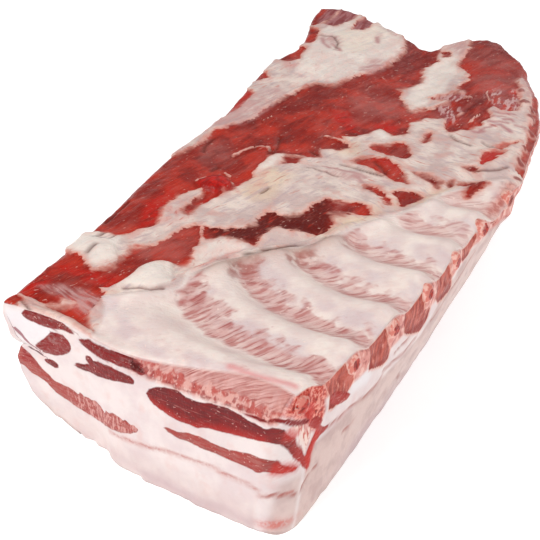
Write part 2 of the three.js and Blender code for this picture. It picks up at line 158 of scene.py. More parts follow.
# Bare flesh on the top, as closed outlines in plan.
FLESH = [
    # the red strip and patches at the front left corner
    [(-160, -6), (-141, -3), (-141, 8), (-140, 17), (-142, 27), (-160, 34)],
    [(-143, 10), (-141, 18.5), (-136, 19), (-131, 18), (-128, 14.5), (-132, 11.5), (-137, 10)],
    [(-132, 9), (-126, 14), (-121, 17.5), (-115, 18.5), (-112, 13), (-105, 6.5), (-113, 7.5), (-124, 8)],
    [(-137, -6), (-135, 0), (-129, 2.6), (-120, 1.5), (-111, 0), (-104, -2), (-110, -6)],
    [(-143, 16), (-144, 29), (-134, 30), (-122, 32), (-116, 30), (-113, 24), (-114, 18), (-122, 17),
     (-131, 17)],
    # the maroon band
    [
        (-160, 29), (-146, 27), (-134, 28), (-122, 31), (-117, 34), (-114, 45), (-112, 55), (-109, 61),
        (-103, 66), (-98, 69), (-98, 75), (-102, 82), (-98, 92), (-96, 96), (-90, 98), (-80, 101),
        (-79, 115), (-65, 118), (-57, 122), (-55, 128), (-58, 138), (-53, 144), (-44, 149), (-46, 154),
        (-54, 153), (-61, 148), (-67, 147), (-70, 139), (-76, 126), (-87, 127), (-90, 122), (-88, 115),
        (-91, 107), (-104, 99), (-110, 101), (-115, 94), (-118, 73), (-126, 66), (-125, 57), (-124, 49),
        (-131, 42), (-140, 46), (-160, 49),
    ],
    # the big muscle along the left side and behind it
    [
        (-165, 66), (-150, 65), (-144, 70), (-138, 71), (-134, 76), (-133, 82), (-128, 88), (-131, 97),
        (-134, 104), (-134, 111), (-133, 116), (-131, 121.5), (-128.5, 127.5), (-125.5, 128.5),
        (-122.6, 125), (-124, 119), (-125.5, 112), (-124, 106), (-120, 104), (-119.5, 115), (-118, 121),
        (-116, 128), (-113.8, 134), (-112.8, 141), (-111.5, 146), (-110, 151), (-113, 153), (-113, 164),
        (-113.6, 171), (-111, 176), (-106, 179.5), (-100, 182), (-90, 185), (-96, 193), (-85, 197),
        (-81, 203), (-92, 212), (-84, 214), (-80, 222), (-77, 230), (-67, 226), (-61, 231), (-68, 244),
        (-60, 253), (-53, 254), (-56, 261), (-64, 261), (-72, 257), (-78, 262), (-84, 268), (-88, 277),
        (-84, 287), (-82, 293), (-89, 312), (-87, 317), (-84, 323), (-88, 330), (-91, 345), (-117, 345),
        (-107, 325), (-106, 305), (-114, 280), (-122, 259), (-132, 257), (-139, 240), (-142, 220),
        (-145, 200), (-150, 189), (-155, 183), (-152, 172), (-153, 160), (-158, 150), (-166, 147),
    ],
    # scraps along the left edge and at the far corner
    [(-172, 200), (-158, 200), (-156, 215), (-158, 232), (-172, 236)],
    [(-176, 244), (-164, 246), (-159, 252), (-165, 259), (-176, 259)],
    [(-176, 277), (-158, 276), (-155, 282), (-162, 298), (-176, 300)],
    [(-180, 300), (-160, 304), (-160, 311), (-168, 326), (-184, 328)],
    [(-192, 330), (-172, 330), (-168, 345), (-171, 366), (-192, 368)],
    [(-168, 366), (-154, 366), (-156, 346), (-160, 333), (-168, 335)],
    [(-151, 350), (-147, 362), (-141, 356), (-141, 338), (-148, 334)],
    [(-88, 336), (-84, 340), (-80, 334), (-84, 330)],
    # the lobe at the back right
    [
        (-86, 370), (-79, 358), (-73.4, 343), (-73.4, 335.6), (-72.7, 325), (-62, 312.5), (-56, 302),
        (-59, 294), (-57.4, 290), (-54.6, 287.5), (-52, 285), (-57, 285.4), (-61.5, 284.4), (-63, 281),
        (-67.4, 276.4), (-63, 275), (-57, 274.4), (-56, 272), (-58.3, 269.3), (-61.7, 266.2),
        (-66.5, 264), (-72, 257), (-66, 250), (-62.6, 255.5), (-57.7, 257.3), (-54, 256),
        (-50.4, 253.6), (-44, 244), (-42, 242.3), (-38.8, 244), (-34.8, 245.4), (-32.8, 248.3),
        (-32, 252.4), (-29.5, 254.3), (-30.6, 258.8), (-28, 262.7), (-27.6, 265.3), (-30.2, 267.8),
        (-33, 271), (-31.5, 276), (-27, 274.5), (-22, 276), (-18.5, 279), (-19, 285), (-22.5, 293),
        (-26, 301), (-28.4, 309), (-33, 318), (-31, 326), (-30, 334), (-40, 348), (-60, 384),
    ],
    # two long lean islands, slits and small scraps in the white fat
    [
        (-74, 190), (-73, 193), (-71, 195.5), (-66.5, 198), (-61.5, 199), (-56.5, 198.4), (-51, 195.5),
        (-46, 192), (-42.6, 188), (-39, 183.5), (-37.9, 180.4), (-40.9, 181.7), (-42.8, 181),
        (-46.8, 181.4), (-52.2, 183.6), (-56.8, 184.7), (-62.2, 186.6), (-67.2, 187.6), (-71, 188.5),
    ],
    [
        (-73, 208), (-73.2, 211), (-67.6, 215), (-63.4, 218.4), (-59.6, 221.4), (-55.8, 219.2),
        (-51.3, 212.8), (-49.2, 206.6), (-50, 204.5), (-53.2, 204), (-59.3, 205), (-65, 205.2),
        (-69.7, 205.5),
    ],
    [
        (-42.4, 193), (-37, 194), (-32, 194.6), (-28.9, 194.8), (-24.3, 193.7), (-25.6, 191.6),
        (-24.5, 188.7), (-26.4, 188.4), (-30, 189.8), (-35, 190.7), (-39, 192),
    ],
    [(-22.4, 194), (-22.3, 197), (-20.5, 198), (-19.2, 195.6), (-19.8, 193.2)],
    [(-24, 210.4), (-20, 209.6), (-17.9, 211.4), (-15, 213.4), (-13, 211.4), (-14, 209.4), (-17, 207.6),
     (-20.5, 208.4)],
    [
        (-57.5, 169), (-56.2, 171), (-53.7, 171.8), (-49.4, 172), (-45.8, 170.3), (-42.4, 167.7),
        (-39.8, 165), (-39.4, 163.3), (-41, 162.4), (-44.3, 163.6), (-48, 165.5), (-52.4, 168),
        (-55.6, 167.3),
    ],
    [
        (-43.4, 169.4), (-41.8, 171.8), (-39.5, 174.2), (-38, 174.8), (-35.9, 174.4), (-33.4, 176.4),
        (-30.7, 178.2), (-28.8, 178.8), (-26.9, 177.4), (-28, 175.6), (-29.8, 171.8), (-31, 169.9),
        (-32.6, 166), (-34.6, 165), (-35, 167.9), (-38.7, 169.3), (-41, 169),
    ],
    [
        (-13.9, 216.5), (-16.6, 223), (-16.4, 228), (-13.6, 231), (-10.5, 234.3), (-7.2, 234.6),
        (-7.7, 231.4), (-11.3, 228), (-9.3, 225.8), (-9.6, 222.3), (-11.4, 219.6), (-12.8, 216.4),
    ],
    [(-13, 237), (-10, 241), (-6, 246), (-4.4, 248), (-5, 245), (-8, 240.5), (-11, 236.5)],
    [(-53, 237), (-49, 236), (-48, 228), (-51, 224)],
    [(-105, 178), (-98, 180), (-98, 171), (-104, 169)],
]
# A dark scrap that lies across the rack's far edge.
EDGE_SCRAP = [
    (-18, 196.6), (-12.6, 199.8), (-10, 201.4), (-7.2, 201.8), (-3.8, 198.6), (-2, 196.4), (-2.8, 194.6),
    (-4.5, 191.4), (-7.2, 186.8), (-9.7, 184.8), (-10.4, 187), (-10, 189.8), (-10.6, 194), (-15, 193.8),
]

# Where flesh is darkest, or freshly cut and bright, or has a film or pale marbling over it.
DARK = [
    [(-108, 100), (-98, 92), (-82, 98), (-78, 112), (-64, 117), (-54, 125), (-58, 140), (-68, 150),
     (-72, 134), (-88, 128), (-92, 112)],
    [(-97, 224), (-90, 214), (-82, 214), (-84, 224)],
    [(-90, 92), (-84, 100), (-80, 112), (-86, 122), (-98, 100)],
]
VIVID = [
    [(-124, 106), (-122, 116), (-120, 126), (-112, 138), (-109, 148), (-113, 146), (-118, 126),
     (-120, 106)],
    [(-108, 233), (-100, 237), (-92, 227), (-84, 219), (-92, 218), (-102, 223)],
    [(-82, 234), (-74, 240), (-65, 232), (-70, 226), (-79, 227)],
    [(-16, 216), (-18, 228), (-12, 234), (-8, 226), (-11, 216)],
    [(-30, 303), (-26, 305), (-23, 296), (-26, 292), (-29, 297)],
    [(-134, 118), (-128, 92), (-134, 84), (-142, 100), (-140, 120)],
    [(-150, 36), (-128, 33), (-116, 34), (-118, 44), (-136, 40)],
    [(-66, 200), (-54, 198), (-48, 190), (-62, 196)],
    [(-176, 198), (-158, 198), (-156, 232), (-176, 236)],
    [(-160, 8), (-141, 8), (-141, 28), (-160, 30)],
]
FILM = [
    [(-163, 184), (-155, 184), (-150, 190), (-145, 198), (-142, 215), (-141, 240),
     (-150, 243), (-157, 235), (-158, 212), (-164, 190)],
    [(-143, 18), (-136, 24), (-122, 27), (-112, 25), (-109, 18), (-116, 15), (-128, 17)],
    [(-33, 334), (-27, 334), (-20, 312), (-19, 298), (-26, 302)],
    [(-92, 352), (-84, 360), (-76, 350), (-74, 336), (-84, 340)],
    [(-84, 172), (-76, 178), (-58, 179), (-66, 170), (-74, 168)],
    [(-159, 318), (-148, 321), (-142, 310), (-147, 305), (-156, 310)],
    [(-120, 304), (-112, 306), (-107, 296), (-112, 284), (-119, 288)],
    [(-132, 340), (-127, 336), (-126, 325), (-131, 330)],
]
MARBLED = [
    [(-68, 278), (-61, 286), (-50, 285), (-47, 280), (-48, 270), (-44, 262), (-42, 254), (-48, 250),
     (-54, 256), (-60, 266), (-62, 272)],
    [(-41, 292), (-31, 302), (-20, 296), (-16, 282), (-24, 272), (-31, 276), (-37, 282)],
]
# Thin mauve veins in the pale film beside the lobe and in the white fat.
VEINS = [
    ([(-157, 312), (-152, 306), (-147, 302.5)], 1.3),
    ([(-147, 308), (-143, 306), (-139.4, 302.4), (-142, 301)], 1.2),
    ([(-129, 331), (-126, 326)], 1.5),
    ([(-116, 285), (-112, 289), (-110, 295)], 1.2),
    ([(-116, 292), (-114, 296), (-109, 299)], 1.2),
    ([(-24, 256.4), (-20.5, 259), (-17, 257.3), (-13, 254.8)], 1.2),
    ([(-20.5, 264.6), (-17.4, 266.6), (-15.4, 265.4)], 1.1),
    ([(-28, 247.4), (-27, 252.4), (-24, 255)], 1.0),
    ([(-31.7, 245.9), (-28, 246.6), (-25.6, 249)], 1.0),
    ([(-31, 262), (-26, 266), (-21, 268)], 1.0),
    ([(-27, 259), (-22, 262), (-17, 262)], 1.0),
    ([(-29, 270), (-24, 271), (-18, 273)], 1.2),
    ([(-13, 262), (-8, 262), (-6, 258)], 0.9),
    ([(-66, 176), (-56, 172), (-48, 172)], 1.2),
    ([(-84, 178), (-70, 179), (-60, 177)], 0.9),
]
# Flesh with a thin brownish film over it.
HAZE = [
    [(-128, 66), (-114, 62), (-104, 70), (-102, 82), (-108, 96), (-116, 90), (-122, 74)],
    [(-104, 264), (-86, 266), (-76, 254), (-78, 242), (-96, 240), (-106, 250)],
    [(-78, 352), (-72, 334), (-56, 326), (-44, 330), (-46, 344), (-60, 346)],
    [(-56, 308), (-48, 318), (-38, 320), (-30, 304), (-33, 288), (-38, 285), (-46, 292)],
    [(-32, 291), (-26, 292), (-21, 285), (-24, 280), (-29, 282)],
    [(-152, 165), (-140, 175), (-128, 158), (-140, 150)],
    [(-74, 262), (-60, 262), (-50, 256), (-66, 250), (-80, 256)],
]
# Flesh that is duskier than the rest, with small dark scraps and the lobe's core.
DUSKY = [
    [(-150, 205), (-146, 235), (-132, 258), (-122, 262), (-118, 250), (-128, 225), (-138, 200)],
    [(-114, 345), (-108, 305), (-100, 292), (-90, 300), (-88, 345)],
    [(-78, 364), (-80, 352), (-72, 336), (-56, 330), (-44, 350), (-62, 368)],
    [(-148, 150), (-140, 175), (-132, 180), (-136, 150)],
    [(-45, 198), (-22, 201), (-17, 200), (-18, 186), (-40, 186)],
    [(-9, 199), (-3, 199), (-3, 193), (-8, 186)],
    [(-44, 172), (-38, 178), (-26, 181), (-26, 168), (-36, 163)],
    [(-26, 208), (-18, 215), (-11, 214), (-14, 206)],
    [
        (-49.6, 274), (-48.3, 277), (-46.7, 281), (-40, 282), (-36.3, 279), (-33.8, 274.4),
        (-32.9, 270.6), (-33.9, 267), (-35.5, 263.3), (-37.6, 260), (-40.6, 257), (-43.5, 263),
        (-46.5, 267),
    ],
]
# The mauve film over the far left tip.
TIP_FILM = [
    [(-178, 364), (-174, 338), (-166, 330), (-156, 334), (-153, 348), (-155, 366)],
    [(-151, 352), (-147, 362), (-140, 356), (-141, 337), (-148, 333)],
]
# Fat that is flushed with pink and flecked with red.
BLUSH = [
    [(-162, 302), (-160, 272), (-138, 260), (-118, 264), (-110, 286), (-118, 300), (-140, 296)],
    [(-124, 345), (-126, 305), (-112, 282), (-104, 300), (-110, 345)],
    [(-136, 74), (-131, 74), (-124, 100), (-130, 112), (-134, 96)],
    [(-84, 356), (-88, 338), (-84, 326), (-74, 330), (-76, 352)],
    [(-104, 96), (-100, 76), (-92, 66), (-84, 84), (-82, 98)],
    [(-172, 148), (-154, 148), (-150, 188), (-160, 202), (-172, 196)],
    [(-134, 112), (-134, 104), (-128, 92), (-118, 100), (-124, 108), (-130, 106)],
    [(-62, 312), (-72, 322), (-74, 342), (-66, 330), (-58, 300), (-60, 284)],
]
# Creamy fat.
CREAM = [
    [(-58, 120), (-52, 120), (-47, 132), (-40, 142), (-38, 152), (-44, 158), (-51, 147), (-56, 138)],
    [(-150, 350), (-126, 342), (-126, 308), (-140, 302), (-154, 322)],
    [(-112, 165), (-92, 160), (-92, 134), (-110, 132)],
    [(-42, 166), (-24, 168), (-18, 190), (-26, 188), (-36, 162)],
    [(-92, 212), (-80, 208), (-72, 196), (-84, 194)],
    [(-106, 34), (-116, 30), (-116, 24), (-98, 30)],
]

# Pale pieces that cross flesh: a sliver over the band and rims of torn flaps.
PALE_STROKES = [
    ([(-110, 101), (-106, 96), (-103, 91), (-101, 88)], 1.5),
    ([(-133.4, 133), (-130, 137.6), (-126.4, 141), (-121, 142.4), (-116.4, 140)], 1.2),
    ([(-126, 147), (-121.5, 146)], 1.5),
    ([(-131, 165), (-129, 172), (-126.5, 176.5), (-122.5, 179), (-118.4, 181), (-115.8, 178)], 1.4),
    ([(-99, 206), (-94, 207)], 1.4),
    ([(-137, 205), (-135, 212)], 0.5),
    ([(-113, 244), (-110, 250)], 0.6),
    ([(-104, 266), (-103, 274)], 0.7),
    ([(-104, 286), (-99, 284)], 0.6),
    ([(-97, 252), (-94, 256)], 0.5),
    ([(-88, 206), (-98, 207)], 1.2),
    ([(-70.3, 202.8), (-64.3, 203.4), (-58.3, 202.6), (-53.4, 201.7), (-48.9, 199.2),
      (-42.7, 195.4)], 1.3),
    ([(-146, 7), (-136, 8), (-124, 6), (-112, 5), (-104, 3)], 1.1),
    ([(-141, 4), (-134, 4.6), (-124, 3.6), (-114, 3)], 0.7),
    ([(-36.5, 254.7), (-35.5, 259), (-34, 264)], 1.1),
    ([(-45, 259), (-44, 263)], 1.4),
    ([(-49.5, 279), (-46.5, 280.5)], 1.5),
    ([(-41, 292), (-38, 286), (-34.8, 279.5)], 0.8),
]
# Pink rims of torn flaps, which only tint the flesh.
PINK_STROKES = [
    ([(-131, 160), (-128, 170), (-123, 176), (-117, 178)], 3.0),
    ([(-137, 124), (-136, 112), (-136, 102), (-131, 90)], 2.6),
    ([(-30, 300), (-26, 312), (-22, 324)], 2.0),
    ([(-20, 300), (-12, 288), (-4, 262), (2, 236)], 1.6),
    ([(-104, 270), (-96, 262), (-86, 262)], 2.0),
    ([(-112, 225), (-102, 219), (-92, 216)], 1.4),
    ([(-140, 5), (-132, 8), (-120, 7), (-108, 5)], 1.6),
    ([(-152, 110), (-150, 126), (-151, 140)], 1.5),
    ([(-28, 308), (-26, 300), (-25, 292)], 2.2),
]
# Small knobs along the right edge at the back: place and radius.
RIM_KNOBS = [(-25, 302, 3.5), (-18.6, 289.6, 4.8), (-13, 286, 3.2), (-10, 276, 3.6), (-3.8, 260.5, 3.8),
             (-1, 243, 2.8), (2.5, 229, 4.4), (5.5, 217, 3.8)]

# Slits and creases on the top, and how wide they are. They are sunk into the relief and darkened with
# painted shade.
CREASES = [
    ([(-64, 195), (-59, 191), (-52, 185.4)], 0.9),
    ([(-139, 50), (-139, 56)], 1.2),
    ([(-144, 62), (-143, 70)], 0.8),
    ([(-138, 64), (-137, 69)], 0.6),
    ([(-160, 316), (-152, 318), (-146, 312), (-143, 304)], 0.8),
    ([(-110, 37), (-104, 41), (-99, 42), (-95, 46)], 0.8),
    ([(-40, 238), (-35.3, 235), (-30.7, 233.6), (-26, 232)], 0.9),
    ([(-78, 185), (-64, 183), (-53, 182)], 0.8),
    ([(-98, 145), (-99, 140)], 1.0),
    ([(-117, 180), (-115, 175)], 1.2),
    ([(-133, 147), (-132, 152)], 1.2),
    ([(-93, 188), (-99, 190)], 0.7),
    ([(-141, 4.6), (-136, 2.4), (-131, 1.4)], 0.6),
    ([(-13, 211), (-8.4, 214), (-4.6, 216.7), (-1, 221)], 0.7),
    ([(-22, 238), (-16, 235), (-10, 236)], 0.6),
    ([(-90, 172), (-80, 173), (-72, 172)], 0.6),
    ([(-152, 100), (-151, 88), (-150, 78)], 0.9),
    ([(-150, 176), (-149, 166), (-146, 160)], 1.2),
    ([(-120, 195), (-116, 186), (-113, 176)], 0.9),
]

# Pale lumps that stand above the fat, and how high.
LUMPS = [
    ([(-115, 35), (-114, 45), (-113, 55), (-109, 62), (-103, 66), (-98, 58), (-94, 52), (-96, 47),
      (-100, 43), (-108, 40)], 1.6),
    ([(-156, 48), (-156, 64), (-145, 70), (-141, 63), (-138, 71), (-133, 71), (-131, 62), (-125, 55),
      (-130, 47), (-135, 43), (-139, 48)], 1.4),
    ([(-116, 152), (-114, 165), (-117, 172), (-115, 180), (-111, 185), (-107, 182), (-104, 172),
      (-106, 162), (-110, 153)], 1.2),
    ([(-81, 221), (-78, 230), (-72, 227), (-67, 222), (-70, 218)], 1.0),
    ([(-80, 352), (-87, 336), (-86, 290), (-82, 270), (-72, 262), (-66, 270), (-64, 284), (-66, 306),
      (-74, 336)], 0.8),
    ([(-166, 326), (-160, 300), (-150, 262), (-134, 260), (-120, 266), (-112, 286), (-108, 312),
      (-112, 338), (-140, 350), (-158, 348)], 0.8),
    ([(-132, 40), (-124, 31), (-120, 30), (-100, 40), (-112, 36), (-118, 34)], 0.8),
    ([(-103, 72), (-101, 82), (-97, 92), (-90, 97), (-82, 100), (-79, 96), (-86, 88), (-93, 78),
      (-96, 70)],
     0.8),
]
# A bright red flap that stands up from the big muscle.
CHERRY = [(-133, 131.5), (-130, 136), (-127, 139.4), (-122, 141.2), (-118, 140), (-115.5, 138),
          (-116, 131), (-118.5, 127), (-125, 127.5), (-129, 129)]

# The layers of the top: the outlines of each, and the depths in them at which it sets in and is full.
TOP_LAYERS = {
    "dark": (DARK, -4, 4),
    "vivid": (VIVID, -3, 2.5),
    "film": (FILM, -2.5, 3),
    "marbled": (MARBLED, -4, 4),
    "dusky": (DUSKY, -5, 4),
    "tip": (TIP_FILM, -1.5, 1.5),
    "blush": (BLUSH, -6, 4),
    "cherry": ([CHERRY], -0.6, 1.4),
    "haze": (HAZE, -5, 4),
    "cream": (CREAM, -5, 5),
}

# The shadow under the fat that rolls over the rack's edge.
ROLL_SHADOW = [(-92, 64), (-88, 74), (-80, 89), (-70, 99), (-64, 105), (-57, 111), (-52, 119)]

# A pink line along the rack's front edge.
FRONT_LINE = [(-38, 10), (-24, 9), (-8, 10.5)]

# How far the flesh along the right edge reaches in from it, and where along the slab it starts.
EDGE_STRIP = 3.8
EDGE_STRIP_START = 222

# Torn fat and flesh are drawn out in this direction of the plan, in degrees.
TORN_TURN = 30

# Where the bare muscles of the top part from each other.
MUSCLE_REGIONS = {
    "band_muscle": [
        (-190, -20), (-60, -20), (-30, 100), (-36, 166), (-66, 160), (-84, 150), (-90, 132), (-112, 110),
        (-122, 84), (-130, 64), (-190, 58),
    ],
    "flank_muscle": [
        (-200, 62), (-130, 68), (-124, 84), (-114, 112), (-92, 136), (-92, 168), (-20, 162), (30, 190),
        (30, 236), (-30, 246), (-66, 254), (-82, 268), (-84, 380), (-200, 380),
    ],
    "end_muscle": [(-80, 270), (-66, 256), (-30, 247), (30, 240), (30, 380), (-90, 384), (-82, 330)],
}

# Lean in the front cut, as closed outlines of x and z, and how pale it is. It runs on through the
# slab, drifting left.
SEAMS = [
    ([(-71.5, 45.6), (-70.5, 48.4), (-66, 50.6), (-63, 52), (-60, 52.3), (-56, 52.4), (-52, 51),
      (-46, 50.6), (-40, 51.8), (-34, 52.4), (-30, 52), (-24, 51), (-14, 50.6), (2, 50.8), (2, 45.2),
      (-10, 45.4), (-16, 44.6), (-20, 43.8), (-25, 42.7), (-30, 42), (-35, 41.3), (-40, 40.8),
      (-43, 40.2), (-46, 39), (-50, 39.3), (-54, 39), (-60, 39.8), (-64, 40.8), (-68, 42.2)], 0.06),
    ([(-63, 33.4), (-58, 33.6), (-54, 34), (-50, 35.2), (-45, 35.3), (-40, 35), (-34, 34.6), (-30, 34.8),
      (-25, 35.6), (-20, 36.8), (-15, 36.8), (-10, 36), (2, 35.4), (2, 28.4), (-6, 28.6), (-15, 29.2),
      (-20, 29.9), (-30, 30.2), (-40, 30.2), (-50, 30.7), (-56, 30.8), (-60, 31.4)], 0.66),
    ([(-156, 43), (-141, 41.5), (-138, 39), (-134.5, 36), (-130, 31), (-127, 29.3), (-124.5, 27),
      (-120, 26.2), (-114.5, 26.3), (-112, 25.2), (-109.5, 26.6), (-106, 25.6), (-100, 26.2),
      (-95, 25.8), (-90, 26.7), (-84, 27), (-79, 27), (-76, 25.6), (-76.6, 24), (-80, 21.6),
      (-85, 19.6), (-90, 18.2), (-95, 17), (-100, 15.8), (-106, 16), (-110, 16.6), (-114, 17.6),
      (-120, 19), (-124, 19.8), (-127, 22), (-130, 24.6), (-134, 26), (-138, 27), (-141, 30),
      (-156, 33)], 0.7),
    ([(-132, 44.8), (-128.5, 49), (-126, 52), (-123.5, 54.6), (-120.5, 55), (-117, 55), (-114, 53.6),
      (-112.6, 51), (-112.8, 48.6), (-114.5, 46.4), (-119, 44), (-123, 42.4), (-127, 41.6),
      (-130, 42)], 0.4),
    ([(-129, 37.6), (-126.8, 39), (-123, 38.8), (-120.8, 38), (-120.8, 35.8), (-123, 34.8), (-126, 35.4),
      (-128.4, 36.2)], 0.2),
    ([(-112.5, 41.4), (-110.5, 43.2), (-106, 44.2), (-103, 46), (-104.6, 48), (-104.4, 50), (-102, 51),
      (-100, 49.4), (-96.5, 50.8), (-90, 51), (-84, 51), (-80, 50.8), (-77.5, 49.4), (-78, 47.4),
      (-82, 46.6), (-86, 45.6), (-90, 44.7), (-95, 43.6), (-100, 42.6), (-106, 40.8),
      (-110, 40.6)], 0.15),
    ([(-139, 58.6), (-137, 61.6), (-131, 62.4), (-125, 61.8), (-120, 60.4), (-116, 59.6), (-112.6, 58.8),
      (-109, 58.2), (-112, 57.4), (-118, 57), (-124, 56.5), (-131, 56), (-135, 56.2), (-138, 57.2)], 0.3),
    ([(-109, 55), (-108, 56.4), (-103.5, 58), (-100, 57.4), (-96, 57.4), (-90, 57.4), (-85, 58.2),
      (-80, 58), (-76, 57), (-73, 54.4), (-74, 52.8), (-80, 53.4), (-86, 52.7), (-90, 52.8),
      (-96.5, 52.5), (-100, 53), (-104, 54)], 0.25),
]
SEAM_DRIFT = -0.095

# The bright foot of the widest seam.
MAIN_FOOT = [(-69, 42), (-64, 40.8), (-60, 39.8), (-54, 39), (-46, 39), (-40, 40.8), (-30, 42),
             (-20, 43.8), (-10, 45.4), (-2, 45)]

# Fine lines in the front cut, also of x and z.
RIND_LINE = [(-92, 16), (-80, 17.8), (-70, 18.8), (-65, 20.4), (-60, 21.3), (-50, 22.5), (-40, 23.3),
             (-34, 22.6), (-30, 22.2), (-20, 22.2), (-14, 20.4), (-10, 18.8), (-2, 18.4)]
FLAP_LINE = [(-147.5, 53.5), (-145, 50.4), (-143, 48.6), (-140.3, 47.4), (-139, 45.4), (-137.5, 43.2),
             (-136, 41.6), (-133.5, 40.8), (-130, 39.6)]
FLAP_FOLD = [(-142, 50.8), (-139.4, 49.8), (-137.4, 48.8), (-135, 47.2), (-133.8, 45.2), (-133, 43.4),
             (-131.6, 42)]
# The dark line is painted shadow, dark red, in the crease above a thin white line of fat under the rack's
# bevel.
DARK_LINES = [([(-26, 53.2), (-18, 53.6), (-12, 54.4), (-6, 54.8), (0, 54.4)], 0.7)]
# The white flap at the front left corner, as an outline.
WHITE_FLAP = [(-150, 60), (-140, 60), (-134, 56.6), (-122, 56.6), (-124, 52), (-130, 46), (-137, 46),
              (-146, 53)]

# The near corner and the right wall, as outlines of length along the rim from the corner, and z.
CORNER_FLESH = [
    ([(-10, 51), (-3, 52), (0, 50.5), (2, 46), (4, 40.5), (6, 35.5), (8, 31.5), (10, 28.5), (12, 24),
      (11.5, 23.2), (9, 25.8), (7, 29), (5, 32.2), (3, 36.5), (1.4, 41), (0, 43.6), (-3, 45),
      (-10, 44.8)],
     0.12),
    ([(-10, 36.6), (-4, 37.6), (0, 35.8), (2, 32.4), (4, 29.6), (6, 27.6), (7.4, 25.8), (6, 24.9),
      (4, 26.4), (2, 28), (0, 29.8), (-3, 31.2), (-10, 30.8)], 0.45),
    ([(12.5, 38.6), (10.6, 36), (9.8, 32), (9.6, 29), (11, 25.6), (12.8, 22), (13.4, 24), (12.8, 29),
      (13, 33), (16, 34.6), (22, 34.8), (22, 36.4), (17, 38), (15, 40)], 0.35),
    ([(6.4, 55), (5.6, 50), (6.4, 45.4), (9, 47), (12, 46.4), (15, 43.6), (16.6, 41), (13.6, 39),
      (11, 40.6), (9, 43), (7.4, 44)], 0.2),
    ([(20, 51), (22.5, 50.6), (27, 48.6), (32, 46), (36.6, 42.4), (33, 41.6), (27, 43), (22.6, 45),
      (20.4, 47.6)], 0.3),
]
# Round the near corner, the line of painted shadow under the bevel runs on.
CORNER_LINES = [([(-10, 54.4), (-6, 54.9), (-3, 55), (0, 54), (2, 51.6), (4, 49.6), (6, 47.6)], 1.1)]
CORNER_RIND = [(-8, 19), (-3, 18.6), (0, 18), (4, 16.6), (8, 16.4)]
SIDE_LINES = [
    ([(14, 37), (18, 36), (23, 35.6), (32, 35.2), (41, 34.6), (50, 33), (59, 32.6), (64, 34.4)], 0.8),
    ([(64, 37.4), (70, 36.6), (75, 36), (85, 35.5), (94, 36)], 0.9),
    ([(72, 41), (78, 42), (84, 41.6)], 0.6),
    ([(-4, 18.6), (2, 17.6), (6, 16), (10, 14.6)], 0.5),
    ([(12, 14), (12.6, 17), (15, 19.6), (20, 21)], 0.4),
    ([(38, 24.6), (46, 24.6)], 0.5),
    ([(88, 21), (96, 16)], 0.5),
    ([(108, 36), (124, 37), (140, 41), (156, 46)], 0.7),
]
# Lean between the sawn rib ends, and the darker red along its foot.
LOZENGES = [
    [(14, 70), (17, 56), (19.5, 50), (20, 43.4), (22, 43), (27, 43.4), (32, 44), (34.5, 47), (36, 50),
     (35, 53), (31, 56), (28, 70)],
    [(47.5, 70), (48, 52), (48.3, 46), (52, 45), (57, 43), (62, 41), (66, 41.6), (66.4, 44), (65.5, 47),
     (63.8, 50), (61, 54), (59, 70)],
    [(77, 70), (75.5, 54), (77, 48), (80, 45.2), (85, 42.6), (90, 40), (96.5, 37.8), (101, 38.6),
     (103, 42), (102.6, 46), (100, 49), (97, 50), (93, 52), (91, 70)],
    [(108, 70), (107, 54), (107.5, 48), (111, 43.4), (116, 42), (121.5, 40.8), (128, 39.4), (130, 41),
     (127.5, 45), (125, 50), (122, 54), (118, 70)],
    [(136, 70), (137, 52), (138.5, 49.6), (142, 49.4), (146, 50.4), (150, 52.6), (153, 57), (152, 70)],
    [(167, 70), (168, 55), (173, 54), (179, 56), (181, 70)],
]
LOZENGE_FOOT = [
    [(20, 50), (20, 43.2), (27, 43), (33, 44.4), (30, 46.6), (25, 48)],
    [(48, 48.6), (48, 45.6), (57, 42.4), (66, 40.6), (66, 44), (57, 45.6)],
    [(78, 48), (80, 44.8), (90, 39.4), (97, 37), (103, 40), (103, 48), (99, 44), (92, 43.6), (85, 46)],
    [(107.4, 48), (111, 42.6), (128, 38.6), (131, 41), (126, 46), (120, 44), (112, 46)],
    [(137, 52), (138.5, 48.8), (146, 49.6), (143, 52)],
]
TORN_END = [(-1, 68), (-1, 57), (2, 54), (5, 50), (6.6, 45), (9, 41), (13, 39.4), (16, 42), (17, 46),
            (16, 50), (17.5, 55), (16, 62), (13, 68)]
# Freshly cut, scarlet lean at the near corner.
SCARLET = [
    [(12.6, 40), (10.6, 36), (9.8, 32), (9.4, 29), (11, 25.6), (12.8, 22), (13.6, 24), (13, 29),
     (13.6, 33), (16, 36)],
    [(0, 34), (3, 32), (7, 27.6), (7, 25), (3, 26), (-1, 29.5)],
    [(0.4, 49), (2.6, 48.6), (4.4, 44.6), (3.4, 42), (0.8, 44.6)],
    [(5, 56), (8, 57), (9, 50), (7, 46), (5, 50)],
]
FAN = [(2, 49), (4, 44), (5.6, 38), (8.4, 32), (9.2, 36), (8.6, 42), (6, 45), (4.6, 50)]
WHITE_WEDGE = [(34, 50), (36, 43), (48, 40), (52, 42), (49, 46), (44, 49)]

# The top of the skin and the foot of the rack's band on the right wall: lengths from the corner and
# the heights there.
SKIN_TOP = ([14, 100, 112, 135, 170, 230], [33, 33.5, 42, 48, 54, 46])
BAND_FOOT = ([14, 40, 70, 100, 135, 160, 230], [52, 48, 47.5, 47, 50.5, 53, 44])

# How much fuller the flap at the front left corner hangs over its groove, and the heights and
# depths of the rest of the relief.
FLAP_FULL = 3.2
FAT_HEIGHT = 0.9
CHERRY_HEIGHT = 2.6
KNOB_HEIGHT = 1.2
ROLL_HEIGHT = 2.0
CREASE_DEPTH = 1.1
STREAK_HEIGHT = 0.22
NOTCH_DEPTH = 3.6

